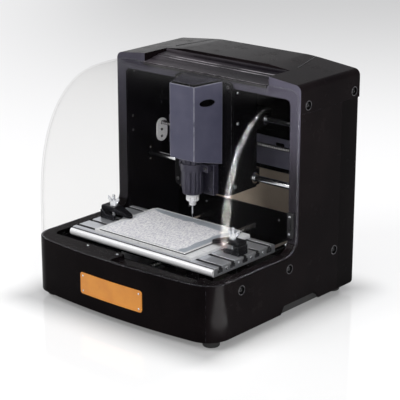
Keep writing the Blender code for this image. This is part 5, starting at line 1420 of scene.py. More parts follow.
def collet_and_cutter():
    """Collet nut with six spanner notches, a short shaft above it and an engraving cutter."""
    low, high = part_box("collet_nut")
    steps = 72
    angle = (np.arange(steps) * TURN / steps)[None, :]
    notch = np.clip(6 * np.cos(6 * angle) - 4.2, 0, 1)
    rows = [
        (0.00, low.z, 0), (2.0, low.z, 0), (5.6, low.z, 0), (6.4, low.z + 0.8 * MM, 0),
        (6.5, low.z + 7.6 * MM, 0), (6.8, low.z + 8.2 * MM, 0), (10.9, low.z + 8.8 * MM, 0),
        (11.8, low.z + 9.8 * MM, 1), (11.8, high.z - 4.2 * MM, 1), (11.8, high.z - 4.0 * MM, 0),
        (11.8, high.z - 0.8 * MM, 0), (11.0, high.z, 0), (5.8, high.z, 0),
    ]
    r = np.array([[max(row[0], 1.75)] for row in rows]) * MM
    z = np.array([[row[1]] for row in rows])
    deep = np.array([[row[2]] for row in rows])
    r = r - deep * 1.3 * MM * notch
    rows_z = np.broadcast_to(z, r.shape)
    grid = spread(SPINDLE[0] + r * np.cos(angle), SPINDLE[1] + r * np.sin(angle), rows_z, "Z")
    faces = quads(len(rows), steps, wrap_cols=True, wrap_rows=True).tolist()
    stands_for(piece("collet_nut_turned", grid, faces, "nut", 32), "collet_nut")
    low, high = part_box("spindle_shaft")
    r = (high.x - low.x) / 2
    profile = [(0, low.z), (r, low.z), (r, high.z), (0, high.z)]
    stands_for(turned("spindle_shaft_turned", profile, SPINDLE, "Z", "tool"), "spindle_shaft")
    low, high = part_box("cutter")
    tip, top = low.z, high.z
    flute = tip + 12 * MM
    rows = 40
    z = np.concatenate([np.linspace(tip, flute, rows), [flute + 1 * MM, top - 0.3 * MM, top]])[:, None]
    cone = np.clip((z - tip) / (11 * MM), 0, 1)
    shank = (high.x - low.x) / 2
    r = 0.12 * MM + (shank - 0.12 * MM) * cone**0.8
    r[-1] = shank - 0.3 * MM
    angle = (np.arange(36) * TURN / 36)[None, :]
    flat = np.clip((flute - z) / (1.5 * MM), 0, 1)
    toward = np.maximum(np.cos(angle), 1e-6)
    cutdown = np.where(np.cos(angle) > 0, np.minimum(r, 0.12 * r / toward), r)
    radius = r * (1 - flat) + cutdown * flat
    grid = spread(SPINDLE[0] + radius * np.cos(angle), SPINDLE[1] + radius * np.sin(angle), z + 0 * angle, "Z")
    count = len(z)
    faces = quads(count, 36, wrap_cols=True).tolist()
    faces += [list(range(36)), list(range((count - 1) * 36, count * 36))]
    stands_for(piece("engraving_cutter", grid, faces, "tool", 30), "cutter")


def stepper(node, axis, front_end):
    """Square stepper motor: two end caps, a laminated middle, four long screws.

    Its outline is a square with chamfered corners; the caps stand a little proud of the middle.
    """
    low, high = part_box(node)
    k = "XYZ".index(axis)
    i, j = [n for n in range(3) if n != k]
    half = (high[i] - low[i]) / 2
    centre = ((low[i] + high[i]) / 2, (low[j] + high[j]) / 2)
    length = high[k] - low[k]
    cut = 4.5 * MM
    sides = [(1, 0), (0, 1), (-1, 0), (0, -1)]
    outline = []
    for sx, sy in sides:
        tx, ty = -sy, sx
        reach = half - cut
        outline.append((half * sx - reach * tx, half * sy - reach * ty))
        outline.append((half * sx + reach * tx, half * sy + reach * ty))
    outline = np.array(outline)
    fractions = [0.0, 0.01, 0.26, 0.26, 0.74, 0.74, 0.99, 1.0]
    scales = [0.98, 1.0, 1.0, 0.975, 0.975, 1.0, 1.0, 0.98]
    rings = []
    for f, s in zip(fractions, scales):
        t = low[k] + f * length
        rings.append(spread(centre[0] + outline[:, 0] * s, centre[1] + outline[:, 1] * s, np.full(8, t), axis))
    faces = quads(len(rings), 8, wrap_cols=True).tolist()
    faces += [list(range(8)), list(range((len(rings) - 1) * 8, len(rings) * 8))]
    stands_for(piece(node + "_case", np.stack(rings), faces, "black", 20), node)
    end = low[k] if front_end == "high" else high[k]
    sign = -1 if front_end == "high" else 1
    places = []
    for a in (-1, 1):
        for b in (-1, 1):
            p = [0.0, 0.0, 0.0]
            p[i] = centre[0] + a * 15.5 * MM
            p[j] = centre[1] + b * 15.5 * MM
            p[k] = end - sign * 1.6 * MM
            places.append(p)
    facing = [0.0, 0.0, 0.0]
    facing[k] = sign
    screws(node + "_screws", places, facing, 2.6 * MM, 1.6 * MM, "zinc", node, slot="chrome")


def slide_face():
    """The wide dark plate on the slide behind the spindle, with a hole near each lower corner."""
    low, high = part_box("z_slide")
    centre = (low.x + high.x) / 2
    half = 39.2 * MM
    depth = low.y - 1.2 * MM, low.y + 5 * MM
    outline = [(centre - half, low.z), (centre + half, low.z), (centre + half, 248 * MM), (centre - half, 248 * MM)]
    plate = block("slide_face", outline, *depth, "Y", "violet_dark", 0.6 * MM)
    bore = ring_points(*SPINDLE, 19.2 * MM, 64)
    cut_by(plate, block("bore", bore, low.z - 5 * MM, 253 * MM, "Z", "violet_dark", 0))
    for side, word in SIDES:
        at = (centre + side * 31 * MM, low.z + 9 * MM)
        hole = ring_points(*at, 4.2 * MM, 28)
        cut_by(plate, block("hole", hole, depth[0] - 5 * MM, depth[1] + 5 * MM, "Y", "violet_dark", 0))
        ring = [(4.3, depth[0] + 0.6 * MM), (5.0, depth[0] - 0.25 * MM), (5.6, depth[0] + 0.2 * MM)]
        ring = [(r * MM, t) for r, t in ring]
        eyelet = turned(f"slide_eyelet_{word}", ring, at, "Y", "screw", 32, loop=True)
        goes_with(eyelet, "z_slide")
    goes_with(smoothed(plate), "z_slide")


def head_parts():
    refine_all(("carriage_front_plate", "black", 0.8), ("x_carriage", "black", 0.6), ("z_slide", "violet", 0.6))
    slide_face()
    refine_all(
        ("spindle_clamp", "violet", 0.6), ("z_rail_left", "rod_z", 0.4), ("z_rail_right", "rod_z", 0.4),
        ("z_screw_nut", "brass", 0.3), ("x_screw_nut", "brass", 0.3),
    )
    plate_low, plate_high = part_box("carriage_front_plate")
    face = plate_low.y
    columns = (plate_low.x + 8 * MM, plate_high.x - 8 * MM)
    places = [(x, face, z * MM) for x in columns for z in (202, 392)]
    screws("front_plate_screws", places, (0, -1, 0), 3.0 * MM, 2.0 * MM, "screw", "carriage_front_plate", "hex")
    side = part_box("x_carriage")[1].x
    places = [(side, 51 * MM, 379 * MM), (side, 51 * MM, 322 * MM), (side, 46 * MM, 205 * MM)]
    screws("carriage_side_screws", places, (1, 0, 0), 3.3 * MM, 2.2 * MM, "zinc", "x_carriage", "cross", "chrome")
    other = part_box("x_carriage")[0].x
    places = [(other, y, z) for _, y, z in places]
    screws("carriage_left_screws", places, (-1, 0, 0), 2.6 * MM, 1.8 * MM, "zinc", "x_carriage", "hex", "chrome")
    for node, word in (("x_rod_upper", "upper"), ("x_rod_lower", "lower")):
        at = middle(node)
        for edge, sign, side_word in ((other, -1, "left"), (side, 1, "right")):
            a, b = edge - sign * 1 * MM, edge + sign * 2.2 * MM
            fold = b - sign * 0.6 * MM
            profile = [(6.5, a), (11.0, a), (11.0, fold), (10.2, b), (7.4, b), (6.5, fold)]
            profile = [(r * MM, t) for r, t in profile]
            ring = turned(f"bearing_lip_{word}_{side_word}", profile, (at.y, at.z), "X", "rod_x", 48, loop=True)
            goes_with(ring, "x_carriage")
    ring_low, ring_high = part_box("spindle_clamp")
    z = (ring_low.z + ring_high.z) / 2
    places = [(SPINDLE[0] + s * 29 * MM, 1.5 * MM, z) for s in (-1, 1)]
    screws("clamp_ring_screws", places, (0, -1, 0), 2.6 * MM, 2.4 * MM, "screw", "spindle_clamp", "hex")


# ---------------------------------------------------------------- table and clamps


def soft_noise(shape, cell, seed):
    """Random numbers blurred by a Gaussian of cell points through the Fourier transform, 0 to 1."""
    rng = np.random.default_rng(seed)
    field = rng.standard_normal(shape)
    fy = np.fft.fftfreq(shape[0])[:, None]
    fx = np.fft.fftfreq(shape[1])[None, :]
    keep = np.exp(-2 * (math.pi * cell) ** 2 * (fx**2 + fy**2))
    field = np.fft.ifft2(np.fft.fft2(field) * keep).real
    field = (field - field.mean()) / field.std()
    return np.clip(0.5 + 0.22 * field, 0, 1)


def work_plate():
    """The plate's face as a height over (x, y): raised border, smooth margin, milled field."""
    low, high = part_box("work_plate")
    cols, rows = 236, 180
    x = np.linspace(low.x + 0.6 * MM, high.x - 0.6 * MM, cols)
    y = np.linspace(low.y + 0.6 * MM, high.y - 0.6 * MM, rows)
    gx, gy = np.meshgrid(x, y)
    wobble = (soft_noise((rows, cols), 9, 3) - 0.5) * 10 * MM
    to_edge = np.minimum(np.minimum(gx - low.x, high.x - gx), np.minimum(gy - low.y, high.y - gy))
    border = 1 - np.clip((to_edge - 3.6 * MM) / (1.0 * MM), 0, 1)
    across = (gx - low.x) / (high.x - low.x)
    inset = np.minimum(high.y - gy - (15 + 14 * across) * MM, high.x - gx - 19 * MM) + wobble
    inset = np.minimum(inset, np.minimum(gx - low.x, gy - low.y) - 4.5 * MM)
    field = np.clip(inset / (1.2 * MM), 0, 1)
    coarse = soft_noise((rows, cols), 2.2, 11)
    fine = soft_noise((rows, cols), 1.1, 12)
    relief = np.clip(0.55 * coarse + 0.6 * fine - 0.08, 0, 1)
    z = high.z - 0.5 * MM * (1 - border) + field * (relief - 0.35) * 0.55 * MM
    z = np.minimum(z, high.z)
    grid = np.stack([gx, gy, z], -1).reshape(-1, 3)
    faces = quads(rows, cols).tolist()
    loop = np.concatenate([
        np.arange(cols), np.arange(1, rows) * cols + cols - 1,
        (rows - 1) * cols + np.arange(cols - 2, -1, -1), np.arange(rows - 2, 0, -1) * cols,
    ])
    skirt = grid[loop].copy()
    hub = np.array([(low.x + high.x) / 2, (low.y + high.y) / 2])
    reach = np.array([high.x - low.x, high.y - low.y]) / 2 - 0.6 * MM
    out = np.sign(np.round((skirt[:, :2] - hub) / reach, 6).astype(int) + 0.0)
    rim = skirt.copy()
    rim[:, :2] += out * 0.6 * MM
    rim[:, 2] = high.z - 0.6 * MM
    foot = rim.copy()
    foot[:, 2] = high.z - 1.2 * MM
    total = len(grid)
    ring = len(loop)
    points = np.concatenate([grid, rim, foot])
    around = total + np.arange(ring)
    first = np.stack([loop, np.roll(loop, -1), np.roll(around, -1), around], -1)
    second = quads(2, ring, wrap_cols=True) + total
    faces += first.tolist() + second.tolist()
    faces.append((ring + around).tolist())
    item = piece("work_plate_face", points, faces, "etched", 45)
    extra = np.ones(2 * ring)
    point_attribute(item, "relief", np.concatenate([relief.ravel(), extra]))
    point_attribute(item, "field", np.concatenate([(field * (1 - border)).ravel(), 0 * extra]))
    point_attribute(item, "border", np.concatenate([border.ravel(), extra]))
    stands_for(item, "work_plate")
    inset = 0.4 * MM
    under = rounded_box((low.x + inset, low.y + inset), (high.x - inset, high.y - inset), 1.5 * MM)
    # The backing's near-black sides are a painted shadow line under the plate.
    backing = block("work_plate_backing", under, low.z, high.z - 1.25 * MM, "Z", "backing", 0.2 * MM)
    goes_with(backing, "work_plate")


def clamp_arm(side, word):
    """Strap clamp: a waisted strap sloping down to the work, a heel block with steps.

    The strap's half width over its length is a straight run less a waist, times a round toe.
    """
    low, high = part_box("clamp_" + word)
    bolt = abs(middle("clamp_bolt_" + word).x)
    heel, toe = max(abs(low.x), abs(high.x)), min(abs(low.x), abs(high.x))
    centre_y = (low.y + high.y) / 2
    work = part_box("work_plate")[1].z + 0.35 * MM
    rise = high.z - 1.0 * MM
    s = np.linspace(0, 1, 33)[:, None]
    x = toe + (heel - 1 * MM - toe) * s
    reach = (bolt - 9 * MM - toe) / (heel - toe)
    climb = np.clip(s / reach, 0, 1)
    top = work + 4.2 * MM + (rise - work - 4.2 * MM) * climb**0.9
    thick = 4.2 * MM + 3.6 * MM * np.clip(s / 0.25, 0, 1)
    arch = 3.0 * MM * np.sin(math.pi * np.clip((s - 0.08) / 0.5, 0, 1))
    under = np.maximum(top - thick, np.where(x < 119.5 * MM, work, 0)) + arch * 0.35
    under[0] = work
    half = (5.2 + 6.0 * np.clip(s / 0.45, 0, 1) ** 0.8) * MM * np.clip((s + 0.02) / 0.06, 0.55, 1)
    around = np.array([(-1, 0), (-1, 0.75), (-0.86, 1), (0.86, 1), (1, 0.75), (1, 0.0), (0.9, -0.0), (-0.9, 0.0)])
    y = centre_y + half * around[None, :, 0]
    z = under + (top - under) * around[None, :, 1]
    grid = np.stack(np.broadcast_arrays(side * x, y, z), -1)
    faces = quads(33, 8, wrap_cols=True).tolist() + [list(range(8)), list(range(32 * 8, 33 * 8))]
    strap = piece("clamp_strap_" + word, grid, faces, "clamp", 35)
    stands_for(strap, "clamp_" + word)
    outline = [(heel, low.z), (bolt + 4.6 * MM, low.z)]
    steps = 6
    base_x, base_z = bolt + 4.6 * MM, low.z + 4 * MM
    top_z = float(top[-1, 0] - thick[-1, 0]) - 0.4 * MM
    for n in range(steps):
        x_n = base_x + (heel - 4 * MM - base_x) * n / steps
        z_n = base_z + (top_z - base_z) * (n + 1) / steps
        outline += [(x_n, z_n - (top_z - base_z) / steps), (x_n + 0.4 * MM, z_n)]
    outline += [(heel, top_z)]
    outline = [(side * a, b) for a, b in outline]
    ends = (centre_y - 13 * MM, centre_y + 13 * MM)
    heel_block = block("clamp_heel_" + word, outline, *ends, "Y", "clamp", 0.25 * MM)
    goes_with(heel_block, "clamp_" + word)
    at = middle("clamp_bolt_" + word)
    for edge, sign in (("front", -1), ("rear", 1)):
        ribs = rounded_box((at.x - 12 * MM, low.z), (at.x + 12 * MM, low.z + 9 * MM), 2.5 * MM, 4)
        web_y = centre_y + sign * 11.2 * MM
        ends = (web_y - 1.6 * MM, web_y + 1.6 * MM)
        web = block(f"clamp_web_{edge}_{word}", ribs, *ends, "Y", "clamp", 0.3 * MM)
        goes_with(web, "clamp_" + word)
    crown = high.z + 0.22 * MM
    ring = [(3.3, rise - 0.2 * MM), (7.6, rise), (7.6, crown), (3.3, crown)]
    ring = [(r * MM, t) for r, t in ring]
    washer = turned("clamp_washer_" + word, ring, (at.x, at.y), "Z", "zinc", 40, loop=True)
    goes_with(washer, "clamp_" + word)


def clamp_stud(word):
    """T-slot bolt: square head in the slot, threaded stud above the clamp."""
    low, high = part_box("clamp_bolt_" + word)
    at = middle("clamp_bolt_" + word)
    half = (high.x - low.x) / 2
    head_top = 120.7 * MM
    outline = rounded_box((at.x - half, at.y - half), (at.x + half, at.y + half), 0.8 * MM, 3)
    head = block("stud_head_" + word, outline, low.z, head_top, "Z", "zinc", 0.3 * MM)
    goes_with(head, "clamp_bolt_" + word)
    ends = (head_top - 0.5 * MM, high.z)
    thread = (3.0 * MM, 0.45 * MM, 1.0 * MM)
    stud = threaded("stud_" + word, (at.x, at.y), "Z", *ends, *thread, "zinc", 24, 7)
    stands_for(stud, "clamp_bolt_" + word)


def wing_nut(word):
    """Hub turned to a slight taper; each wing is an oval section swept up and outward."""
    low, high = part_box("wing_nut_" + word)
    at = middle("wing_nut_" + word)
    base = low.z
    profile = [(3.3, 0), (7.0, 0), (7.0, 2.0), (5.6, 9.4), (4.9, 10.0), (3.3, 10.0)]
    profile = [(r * MM, base + t * MM) for r, t in profile]
    hub = turned("wing_hub_" + word, profile, (at.x, at.y), "Z", "zinc", 40, loop=True)
    stands_for(hub, "wing_nut_" + word)
    span = (high.x - low.x) / 2
    s = np.linspace(0, 1, 15)[:, None]
    a = (np.arange(20) * TURN / 20)[None, :]
    height = (2.9 + 2.0 * np.sin(math.pi * (0.1 + 0.8 * s))) * MM
    thick = (1.7 - 0.5 * s) * MM
    taper = np.sqrt(np.clip(1 - ((s - 0.5) / 0.52) ** 6, 0, 1))
    along = 3.6 * MM + (span - 6.4 * MM) * s
    lift = base + 5.2 * MM + 9.0 * MM * s**1.3
    for way in (-1, 1):
        lean = 0.5 * height * taper * np.sin(a)
        x = at.x + way * (along - 0.35 * lean)
        y = at.y + thick * taper * np.cos(a)
        z = lift + height * taper * np.sin(a)
        grid = np.stack(np.broadcast_arrays(x, y, z), -1)
        faces = quads(15, 20, wrap_cols=True).tolist()
        faces += [list(range(20)), list(range(14 * 20, 15 * 20))]
        wing = piece(f"wing_{word}_{'inner' if way < 0 else 'outer'}", grid, faces, "zinc", 60)
        goes_with(wing, "wing_nut_" + word)


def inside_slots(centres, _normals):
    """Faces of the table's grooves: below the top, above the underside, inside the ends."""
    below = centres[:, 2] < TABLE_HIGH.z - 0.9 * MM
    above = centres[:, 2] > TABLE_LOW.z + 1.2 * MM
    along = np.abs(centres[:, 0]) < TABLE_HIGH.x - 0.2 * MM
    within = np.abs(centres[:, 1] - TABLE_Y) < (TABLE_HIGH.y - TABLE_LOW.y) / 2 - 0.6 * MM
    return below & above & along & within


def table_nose():
    """The table's rounded front lip: half an ellipse in (Y, Z) carried along X."""
    low, high = TABLE_LOW, TABLE_HIGH
    angle = np.radians(np.linspace(90, 270, 26))
    centre_z = (low.z + high.z) / 2 - 0.4 * MM
    y = low.y + 0.3 * MM + 5.0 * MM * np.cos(angle)
    z = centre_z + 6.4 * MM * np.sin(angle)
    # The lip's whiter finish is a painted reflection.
    nose = block("table_nose", np.stack([y, z], -1), low.x + 0.3 * MM, high.x - 0.3 * MM, "X", "nose", 0.25 * MM)
    goes_with(nose, "table")


def table_parts():
    table = refined("table", "aluminium", 0.35 * MM)
    # The faces inside the grooves take the painted shade finish.
    split_faces(table, "groove", inside_slots)
    table_nose()
    refined("spoil_board", "board", 0.5 * MM, 3)
    refined("table_saddle", "black", 0.6 * MM)
    refined("table_screw_nut", "brass", 0.3 * MM)
    bar("table_rod_left", "Y", "rod_y")
    bar("table_rod_right", "Y", "rod_y")
    low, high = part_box("table_screw")
    lead_screw("table_lead_screw", "table_screw", "Y", (high.x - low.x) / 2, 0.9 * MM, 5 * MM)
    work_plate()
    for side, word in SIDES:
        clamp_arm(side, word)
        clamp_stud(word)
        wing_nut(word)
    slot_ends()


def slot_ends():
    """Screws that close the ends of the table's extrusion, one in each land."""
    z = TABLE_LOW.z + 3.0 * MM
    for side, word in SIDES:
        x = side * TABLE_HIGH.x
        places = [(x, TABLE_Y + n * 33.5 * MM, z + 5.4 * MM) for n in (-1.5, -0.5, 0.5, 1.5)]
        screws(f"table_end_screws_{word}", places, (side, 0, 0), 2.6 * MM, 1.0 * MM, "zinc", "table", "hex", "chrome")


# ---------------------------------------------------------------- frame inside


def cross_axis():
    for node in ("x_rod_upper", "x_rod_lower"):
        bar(node, "X", "rod_x")
    lead_screw("cross_lead_screw", "x_screw", "X", 4 * MM, 0.8 * MM, 4 * MM)
    lead_screw("upright_lead_screw", "z_screw", "Z", 4 * MM, 0.8 * MM, 4 * MM)
    low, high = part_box("x_coupling")
    at = middle("x_coupling")
    n = 60
    t = np.linspace(low.x, high.x, n)
    slit = np.abs(((t - low.x) / (3.2 * MM)) % 1.0 - 0.5) < 0.1
    r = np.where(slit & (t > low.x + 4 * MM) & (t < high.x - 4 * MM), 8.2 * MM, 9.0 * MM)
    profile = [(0, low.x), *zip(r, t), (0, high.x)]
    stands_for(turned("spiral_coupling", profile, (at.y, at.z), "X", "black"), "x_coupling")
    refined("x_bearing_plate", "silver", 0.5 * MM)
    low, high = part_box("x_bearing_plate")
    centre = (low + high) / 2
    places = [(high.x, centre.y + dy * MM, centre.z + dz * MM) for dy, dz in ((-2, 13), (-2, 0.5), (-2, -13))]
    screws("bearing_plate_screws", places, (1, 0, 0), 2.7 * MM, 1.2 * MM, "screw", "x_bearing_plate")


def wall_fittings():
    """Screw heads on the inner walls where the rods, the motor and the sheets are held."""
    plate_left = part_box("portal_plate_left")[1].x
    walls = {"left": plate_left, "right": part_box("portal_plate_right")[0].x}
    rods = ((middle("x_rod_upper"), 11 * MM), (middle("x_rod_lower"), 11.5 * MM))
    spots = [(rod.y, rod.z + s * away) for rod, away in rods for s in (1, -1)]
    for side, word in SIDES:
        places = [(walls[word], y, z) for y, z in spots]
        head = (1.9 * MM, 1.2 * MM, "zinc", "portal_plate_" + word, "hex", "chrome")
        screws("rod_screws_" + word, places, (-side, 0, 0), *head)
    dim = [(plate_left, 53.5 * MM, 293 * MM), (plate_left, 53.5 * MM, 265 * MM)]
    screws("wall_screws_left", dim, (1, 0, 0), 2.4 * MM, 1.4 * MM, "screw", "portal_plate_left")
    cap = [(plate_left, 59 * MM, 379 * MM)]
    screws("wall_cap_screw_left", cap, (1, 0, 0), 1.8 * MM, 1.2 * MM, "zinc", "portal_plate_left", slot="chrome")
    low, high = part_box("rear_crossmember")
    xs = (-165, -120, -60, 60, 95, 120, 140, 165)
    places = [(x * MM, low.y, (low.z + high.z) / 2 + (12 if n % 2 else -8) * MM) for n, x in enumerate(xs)]
    screws("crossmember_screws", places, (0, -1, 0), 2.2 * MM, 1.3 * MM, "zinc", "rear_crossmember", "hex", "chrome")


def frame_parts():
    refine_all(
        ("base_pan", "pan", 0.3), ("portal_plate_left", "black", 0.5), ("portal_plate_right", "black", 0.5),
        ("front_crossmember", "black", 0.6), ("rear_crossmember", "black", 0.6),
        ("rear_inner_sheet", "beige", 0.3), ("portal_cross_plate", "cross", 0.4),
    )
    stepper("x_motor", "X", "low")
    stepper("table_motor", "Y", "high")
    stepper("z_motor", "Z", "low")
    bar("hinge_pin", "X", "rod_x", 0.4 * MM, 32)
    cross_axis()
    wall_fittings()


def foot(node):
    """Turned rubber foot: flat pad, rolled lip, a waist, and the hollow for its screw."""
    low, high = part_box(node)
    at = middle(node)
    r = (high.x - low.x) / 2
    z = low.z
    height = high.z - low.z
    profile = [
        (4.0 * MM, z + 3 * MM), (5.2 * MM, z + 0.4 * MM), (6.5 * MM, z), (r - 3.0 * MM, z),
        (r - 1.2 * MM, z + 0.5 * MM), (r - 0.2 * MM, z + 1.8 * MM), (r, z + 3.4 * MM),
        (r - 0.4 * MM, z + 0.55 * height), (r - 1.5 * MM, z + 0.8 * height),
        (r - 1.6 * MM, z + height), (4.0 * MM, z + height),
    ]
    stands_for(turned(node + "_turned", profile, (at.x, at.y), "Z", "rubber", 56, loop=True), node)
    head = [(0, z + 5 * MM), (3.6 * MM, z + 5 * MM), (3.6 * MM, z + 8 * MM), (0, z + 8 * MM)]
    goes_with(turned(node + "_screw", head, (at.x, at.y), "Z", "zinc", 24), node)


def shade_skids():
    """Pressed steel skids under the base, between the feet: a hat section carried along Y; their dark steel fills the
    view through the hand-holds as painted shade.
    """
    for side, word in SIDES:
        centre = side * 191 * MM
        hat = [(-8, 18), (-8, 16.8), (-5, 16.4), (-4, 5), (-2.6, 4), (5.6, 4), (7, 5), (8, 16.4), (8, 18)]
        outline = [(centre + side * a * MM, b * MM) for a, b in hat]
        # Dark skids put where the hand-holds show shade: painted shade.
        skid = block("skid_" + word, outline, -138 * MM, 156 * MM, "Y", "pan", 0.4 * MM)
        goes_with(skid, "base_pan")


def sensor():
    """Threaded barrel sensor with its two lock nuts and black face."""
    low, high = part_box("table_home_sensor")
    at = middle("table_home_sensor")
    r = (high.z - low.z) / 2
    centre = (at.y, at.z)
    thread = (r - 1.0 * MM, 0.4 * MM, 1 * MM)
    barrel = threaded("sensor_barrel", centre, "X", low.x + 1.5 * MM, high.x, *thread, "zinc", 32, 6)
    stands_for(barrel, "table_home_sensor")
    wide, seat = r - 1.8 * MM, low.x + 1.6 * MM
    tip = [(0, low.x), (wide - 0.4 * MM, low.x), (wide, low.x + 0.4 * MM), (wide, seat), (0, seat)]
    goes_with(turned("sensor_face", tip, centre, "X", "plastic", 32), "table_home_sensor")
    hexagon = ring_points(at.y, at.z, r, 6)
    for word, x in (("inner", high.x - 4.4 * MM), ("outer", low.x + 7 * MM)):
        nut = block(f"sensor_nut_{word}", hexagon, x, x + 4 * MM, "X", "zinc", 0.4 * MM)
        goes_with(nut, "table_home_sensor")


def hood_switch():
    """Interlock switch: a moulded body with two screws and a bowed spring lever."""
    low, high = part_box("hood_switch")
    face = low.y + 2.5 * MM
    corners = ((low.x + 1 * MM, face, low.z), (high.x - 1 * MM, high.y, high.z))
    stands_for(box_block("hood_switch_body", *corners, "plastic", 0.8 * MM), "hood_switch")
    x = (low.x + high.x) / 2
    places = [(x, face, z) for z in (low.z + 7 * MM, high.z - 7 * MM)]
    screws("hood_switch_screws", places, (0, -1, 0), 2.3 * MM, 1.6 * MM, "zinc", "hood_switch", slot="chrome")
    t = np.linspace(0, 1, 20)
    y = low.y + 2.2 * MM - 1.8 * MM * np.sin(math.pi * t) ** 0.7
    z = low.z + 12 * MM + 22 * MM * t
    lever = np.concatenate([np.stack([y, z], -1), np.stack([y[::-1] + 0.5 * MM, z[::-1]], -1)])
    goes_with(block("hood_switch_lever", lever, x - 2.5 * MM, x + 2.5 * MM, "X", "screw", 0), "hood_switch")


def electrics():
    refined("power_inlet", "plastic", 0.4 * MM)
    refined("power_rocker", "red", 0.5 * MM, 3)
    refined("power_supply", "galvanised", 0.8 * MM)
    refined("control_board", "circuit", 0.2 * MM)
    sensor()
    hood_switch()


# ---------------------------------------------------------------- studio


def look_at(item, target):
    away = item.location - Vector(target)
    item.rotation_mode = "QUATERNION"
    item.rotation_quaternion = away.to_track_quat("Z", "Y")


def soft_lamp(name, place, target, size, power, mirrored=False, colour=(1, 1, 1)):
    data = bpy.data.lights.new(name, "AREA")
    data.shape = "RECTANGLE"
    data.size, data.size_y = size
    data.energy = power
    data.color = colour
    item = bpy.data.objects.new(name, data)
    bpy.context.scene.collection.objects.link(item)
    item.location = place
    item.visible_glossy = mirrored
    item.visible_camera = False
    look_at(item, target)
    return item


def camera():
    azimuth, elevation = math.radians(40.6), math.radians(17.9)
    target = Vector((0.015, 0.0055, 0.180))
    level = math.cos(elevation)
    away = Vector((math.sin(azimuth) * level, -math.cos(azimuth) * level, math.sin(elevation)))
    data = bpy.data.cameras.new("camera")
    data.lens = 134.3
    data.sensor_width = 36
    item = bpy.data.objects.new("camera", data)
    bpy.context.scene.collection.objects.link(item)
    item.location = target + 2.7 * away
    look_at(item, target)
    bpy.context.scene.camera = item


def floor():
    """A polished white floor that greys off behind the machine, most behind its middle.

    Its own glow, which whitens it for the eye, fades out close to the machine's foot.
    """
    f = Finish("studio_floor", (0.50, 0.50, 0.50), 0.06)
    f.give("Specular IOR Level", 0.5)
    x, y = f.axis("X"), f.axis("Y")
    away = y * 0.76 - x * 0.65
    across = x * 0.76 + y * 0.65
    shade = away.step(0.6, 3.5) * across.step(-0.85, -0.05, 0.34, 1.0)
    path = f.add("ShaderNodeLightPath", None, None, "Is Camera Ray")
    glossy = f.add("ShaderNodeLightPath", None, None, "Is Glossy Ray")
    clear = f.add("ShaderNodeLightPath", None, None, "Is Transmission Ray")
    f.give("Base Color", f.blend(shade, (0.50, 0.50, 0.50), (0.24, 0.24, 0.24)))
    beside_x = (x.maths("ABSOLUTE") - HALF).most(0.0)
    beside_y = (y.maths("ABSOLUTE") - BACK).most(0.0)
    clear_of = (beside_x * beside_x + beside_y * beside_y) ** 0.5
    glow = clear_of.step(-0.05, 0.085)
    seen = f.blend(shade, (1.0, 1.0, 1.0), (0.44, 0.44, 0.44))
    f.give("Emission Color", f.blend(glow, (0.0, 0.0, 0.0), seen))
    f.give("Emission Strength", (path + glossy + clear).least(1.0) * 0.56)
    size = 16.0
    points = [(-size, -size, 0), (size, -size, 0), (size, size, 0), (-size, size, 0)]
    mesh = bpy.data.meshes.new("studio_floor")
    mesh.from_pydata(points, [], [(0, 1, 2, 3)])
    mesh.materials.append(f.material)
    item = bpy.data.objects.new("studio_floor", mesh)
    bpy.context.scene.collection.objects.link(item)


def world():
    """Pale sky for the eye and for reflections, a gentler one for the light it gives."""
    sky = bpy.data.worlds.new("studio")
    sky.use_nodes = True
    tree = sky.node_tree
    back = tree.nodes["Background"]
    coords = tree.nodes.new("ShaderNodeTexCoord")
    split = tree.nodes.new("ShaderNodeSeparateXYZ")
    ramp = tree.nodes.new("ShaderNodeValToRGB")
    tree.links.new(coords.outputs["Generated"], split.inputs[0])
    tree.links.new(split.outputs[2], ramp.inputs[0])
    ramp.color_ramp.elements[0].position = 0.0
    ramp.color_ramp.elements[0].color = (0.86, 0.86, 0.87, 1)
    ramp.color_ramp.elements[1].position = 0.7
    ramp.color_ramp.elements[1].color = (0.42, 0.42, 0.44, 1)
    tree.links.new(ramp.outputs[0], back.inputs["Color"])
    path = tree.nodes.new("ShaderNodeLightPath")
    most = tree.nodes.new("ShaderNodeMath")
    most.operation = "MAXIMUM"
    tree.links.new(path.outputs["Is Camera Ray"], most.inputs[0])
    both = tree.nodes.new("ShaderNodeMath")
    both.operation = "MAXIMUM"
    tree.links.new(path.outputs["Is Glossy Ray"], both.inputs[0])
    tree.links.new(path.outputs["Is Transmission Ray"], both.inputs[1])
    tree.links.new(both.outputs[0], most.inputs[1])
    strength = tree.nodes.new("ShaderNodeMapRange")
    strength.inputs[3].default_value = 0.55
    strength.inputs[4].default_value = 1.0
    tree.links.new(most.outputs[0], strength.inputs[0])
    tree.links.new(strength.outputs[0], back.inputs["Strength"])
    bpy.context.scene.world = sky


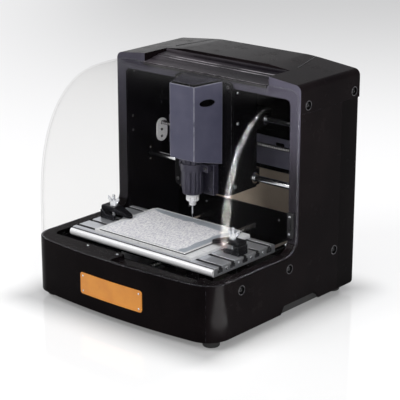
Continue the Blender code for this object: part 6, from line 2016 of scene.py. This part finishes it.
def only_on(lamp, *pieces, state="INCLUDE"):
    """Keeps a lamp to a few pieces, or off them."""
    group = bpy.data.collections.new(lamp.name + "_pieces")
    for word in pieces:
        group.objects.link(bpy.data.objects[word])
    for member in group.collection_objects:
        member.light_linking.link_state = state
    lamp.light_linking.receiver_collection = group
    return lamp


def lights():
    key = soft_lamp("key_lamp", (-1.5, -2.2, 2.3), (0, 0, 0.2), (1.6, 1.2), 52, True)
    top = soft_lamp("top_lamp", (0.2, 0.3, 2.6), (0, 0, 0.2), (2.0, 1.6), 24, True)
    fill = soft_lamp("fill_lamp", (2.4, -1.4, 1.3), (0, 0, 0.2), (0.9, 1.2), 26, True)
    for lamp in (key, top, fill):
        only_on(lamp, "hood_shell", state="EXCLUDE")
    strip = soft_lamp("strip_lamp", (0.645, 0.075, 0.38), (0.2, -0.15, 0.36), (0.38, 0.84), 260, True)
    only_on(strip, "hood_shell").visible_diffuse = False
    corner = soft_lamp("corner_lamp", (0.45, -0.17, 0.003), (0.45, -0.17, 1.0), (0.32, 0.18), 4, True)
    only_on(corner, "side_cover_right_eased").visible_diffuse = False
    arch = soft_lamp("arch_lamp", (0.36, -0.24, 0.50), (0.19, 0.035, 0.37), (0.14, 0.14), 2.6)
    only_on(arch, "top_cover_eased", "side_cover_right_eased")
    inner = soft_lamp("inner_lamp", (0.05, -0.20, 0.30), (-0.19, 0.08, 0.29), (0.10, 0.10), 1.2)
    only_on(inner, "x_bearing_plate_eased", "portal_plate_left_eased")


def studio():
    bpy.context.scene.view_settings.view_transform = "Standard"
    camera()
    floor()
    world()
    lights()


# ---------------------------------------------------------------- the machine


def main():
    covers()
    cover_screws()
    roof_grooves()
    part_lines()
    recess_lip()
    cups()
    blank_plate()
    hood_shell()
    hood_fittings()
    head_cover()
    spindle_motor()
    collet_and_cutter()
    head_parts()
    table_parts()
    frame_parts()
    for node in ("foot_front_left", "foot_front_right", "foot_rear_left", "foot_rear_right"):
        foot(node)
    shade_skids()
    electrics()
    studio()


main()
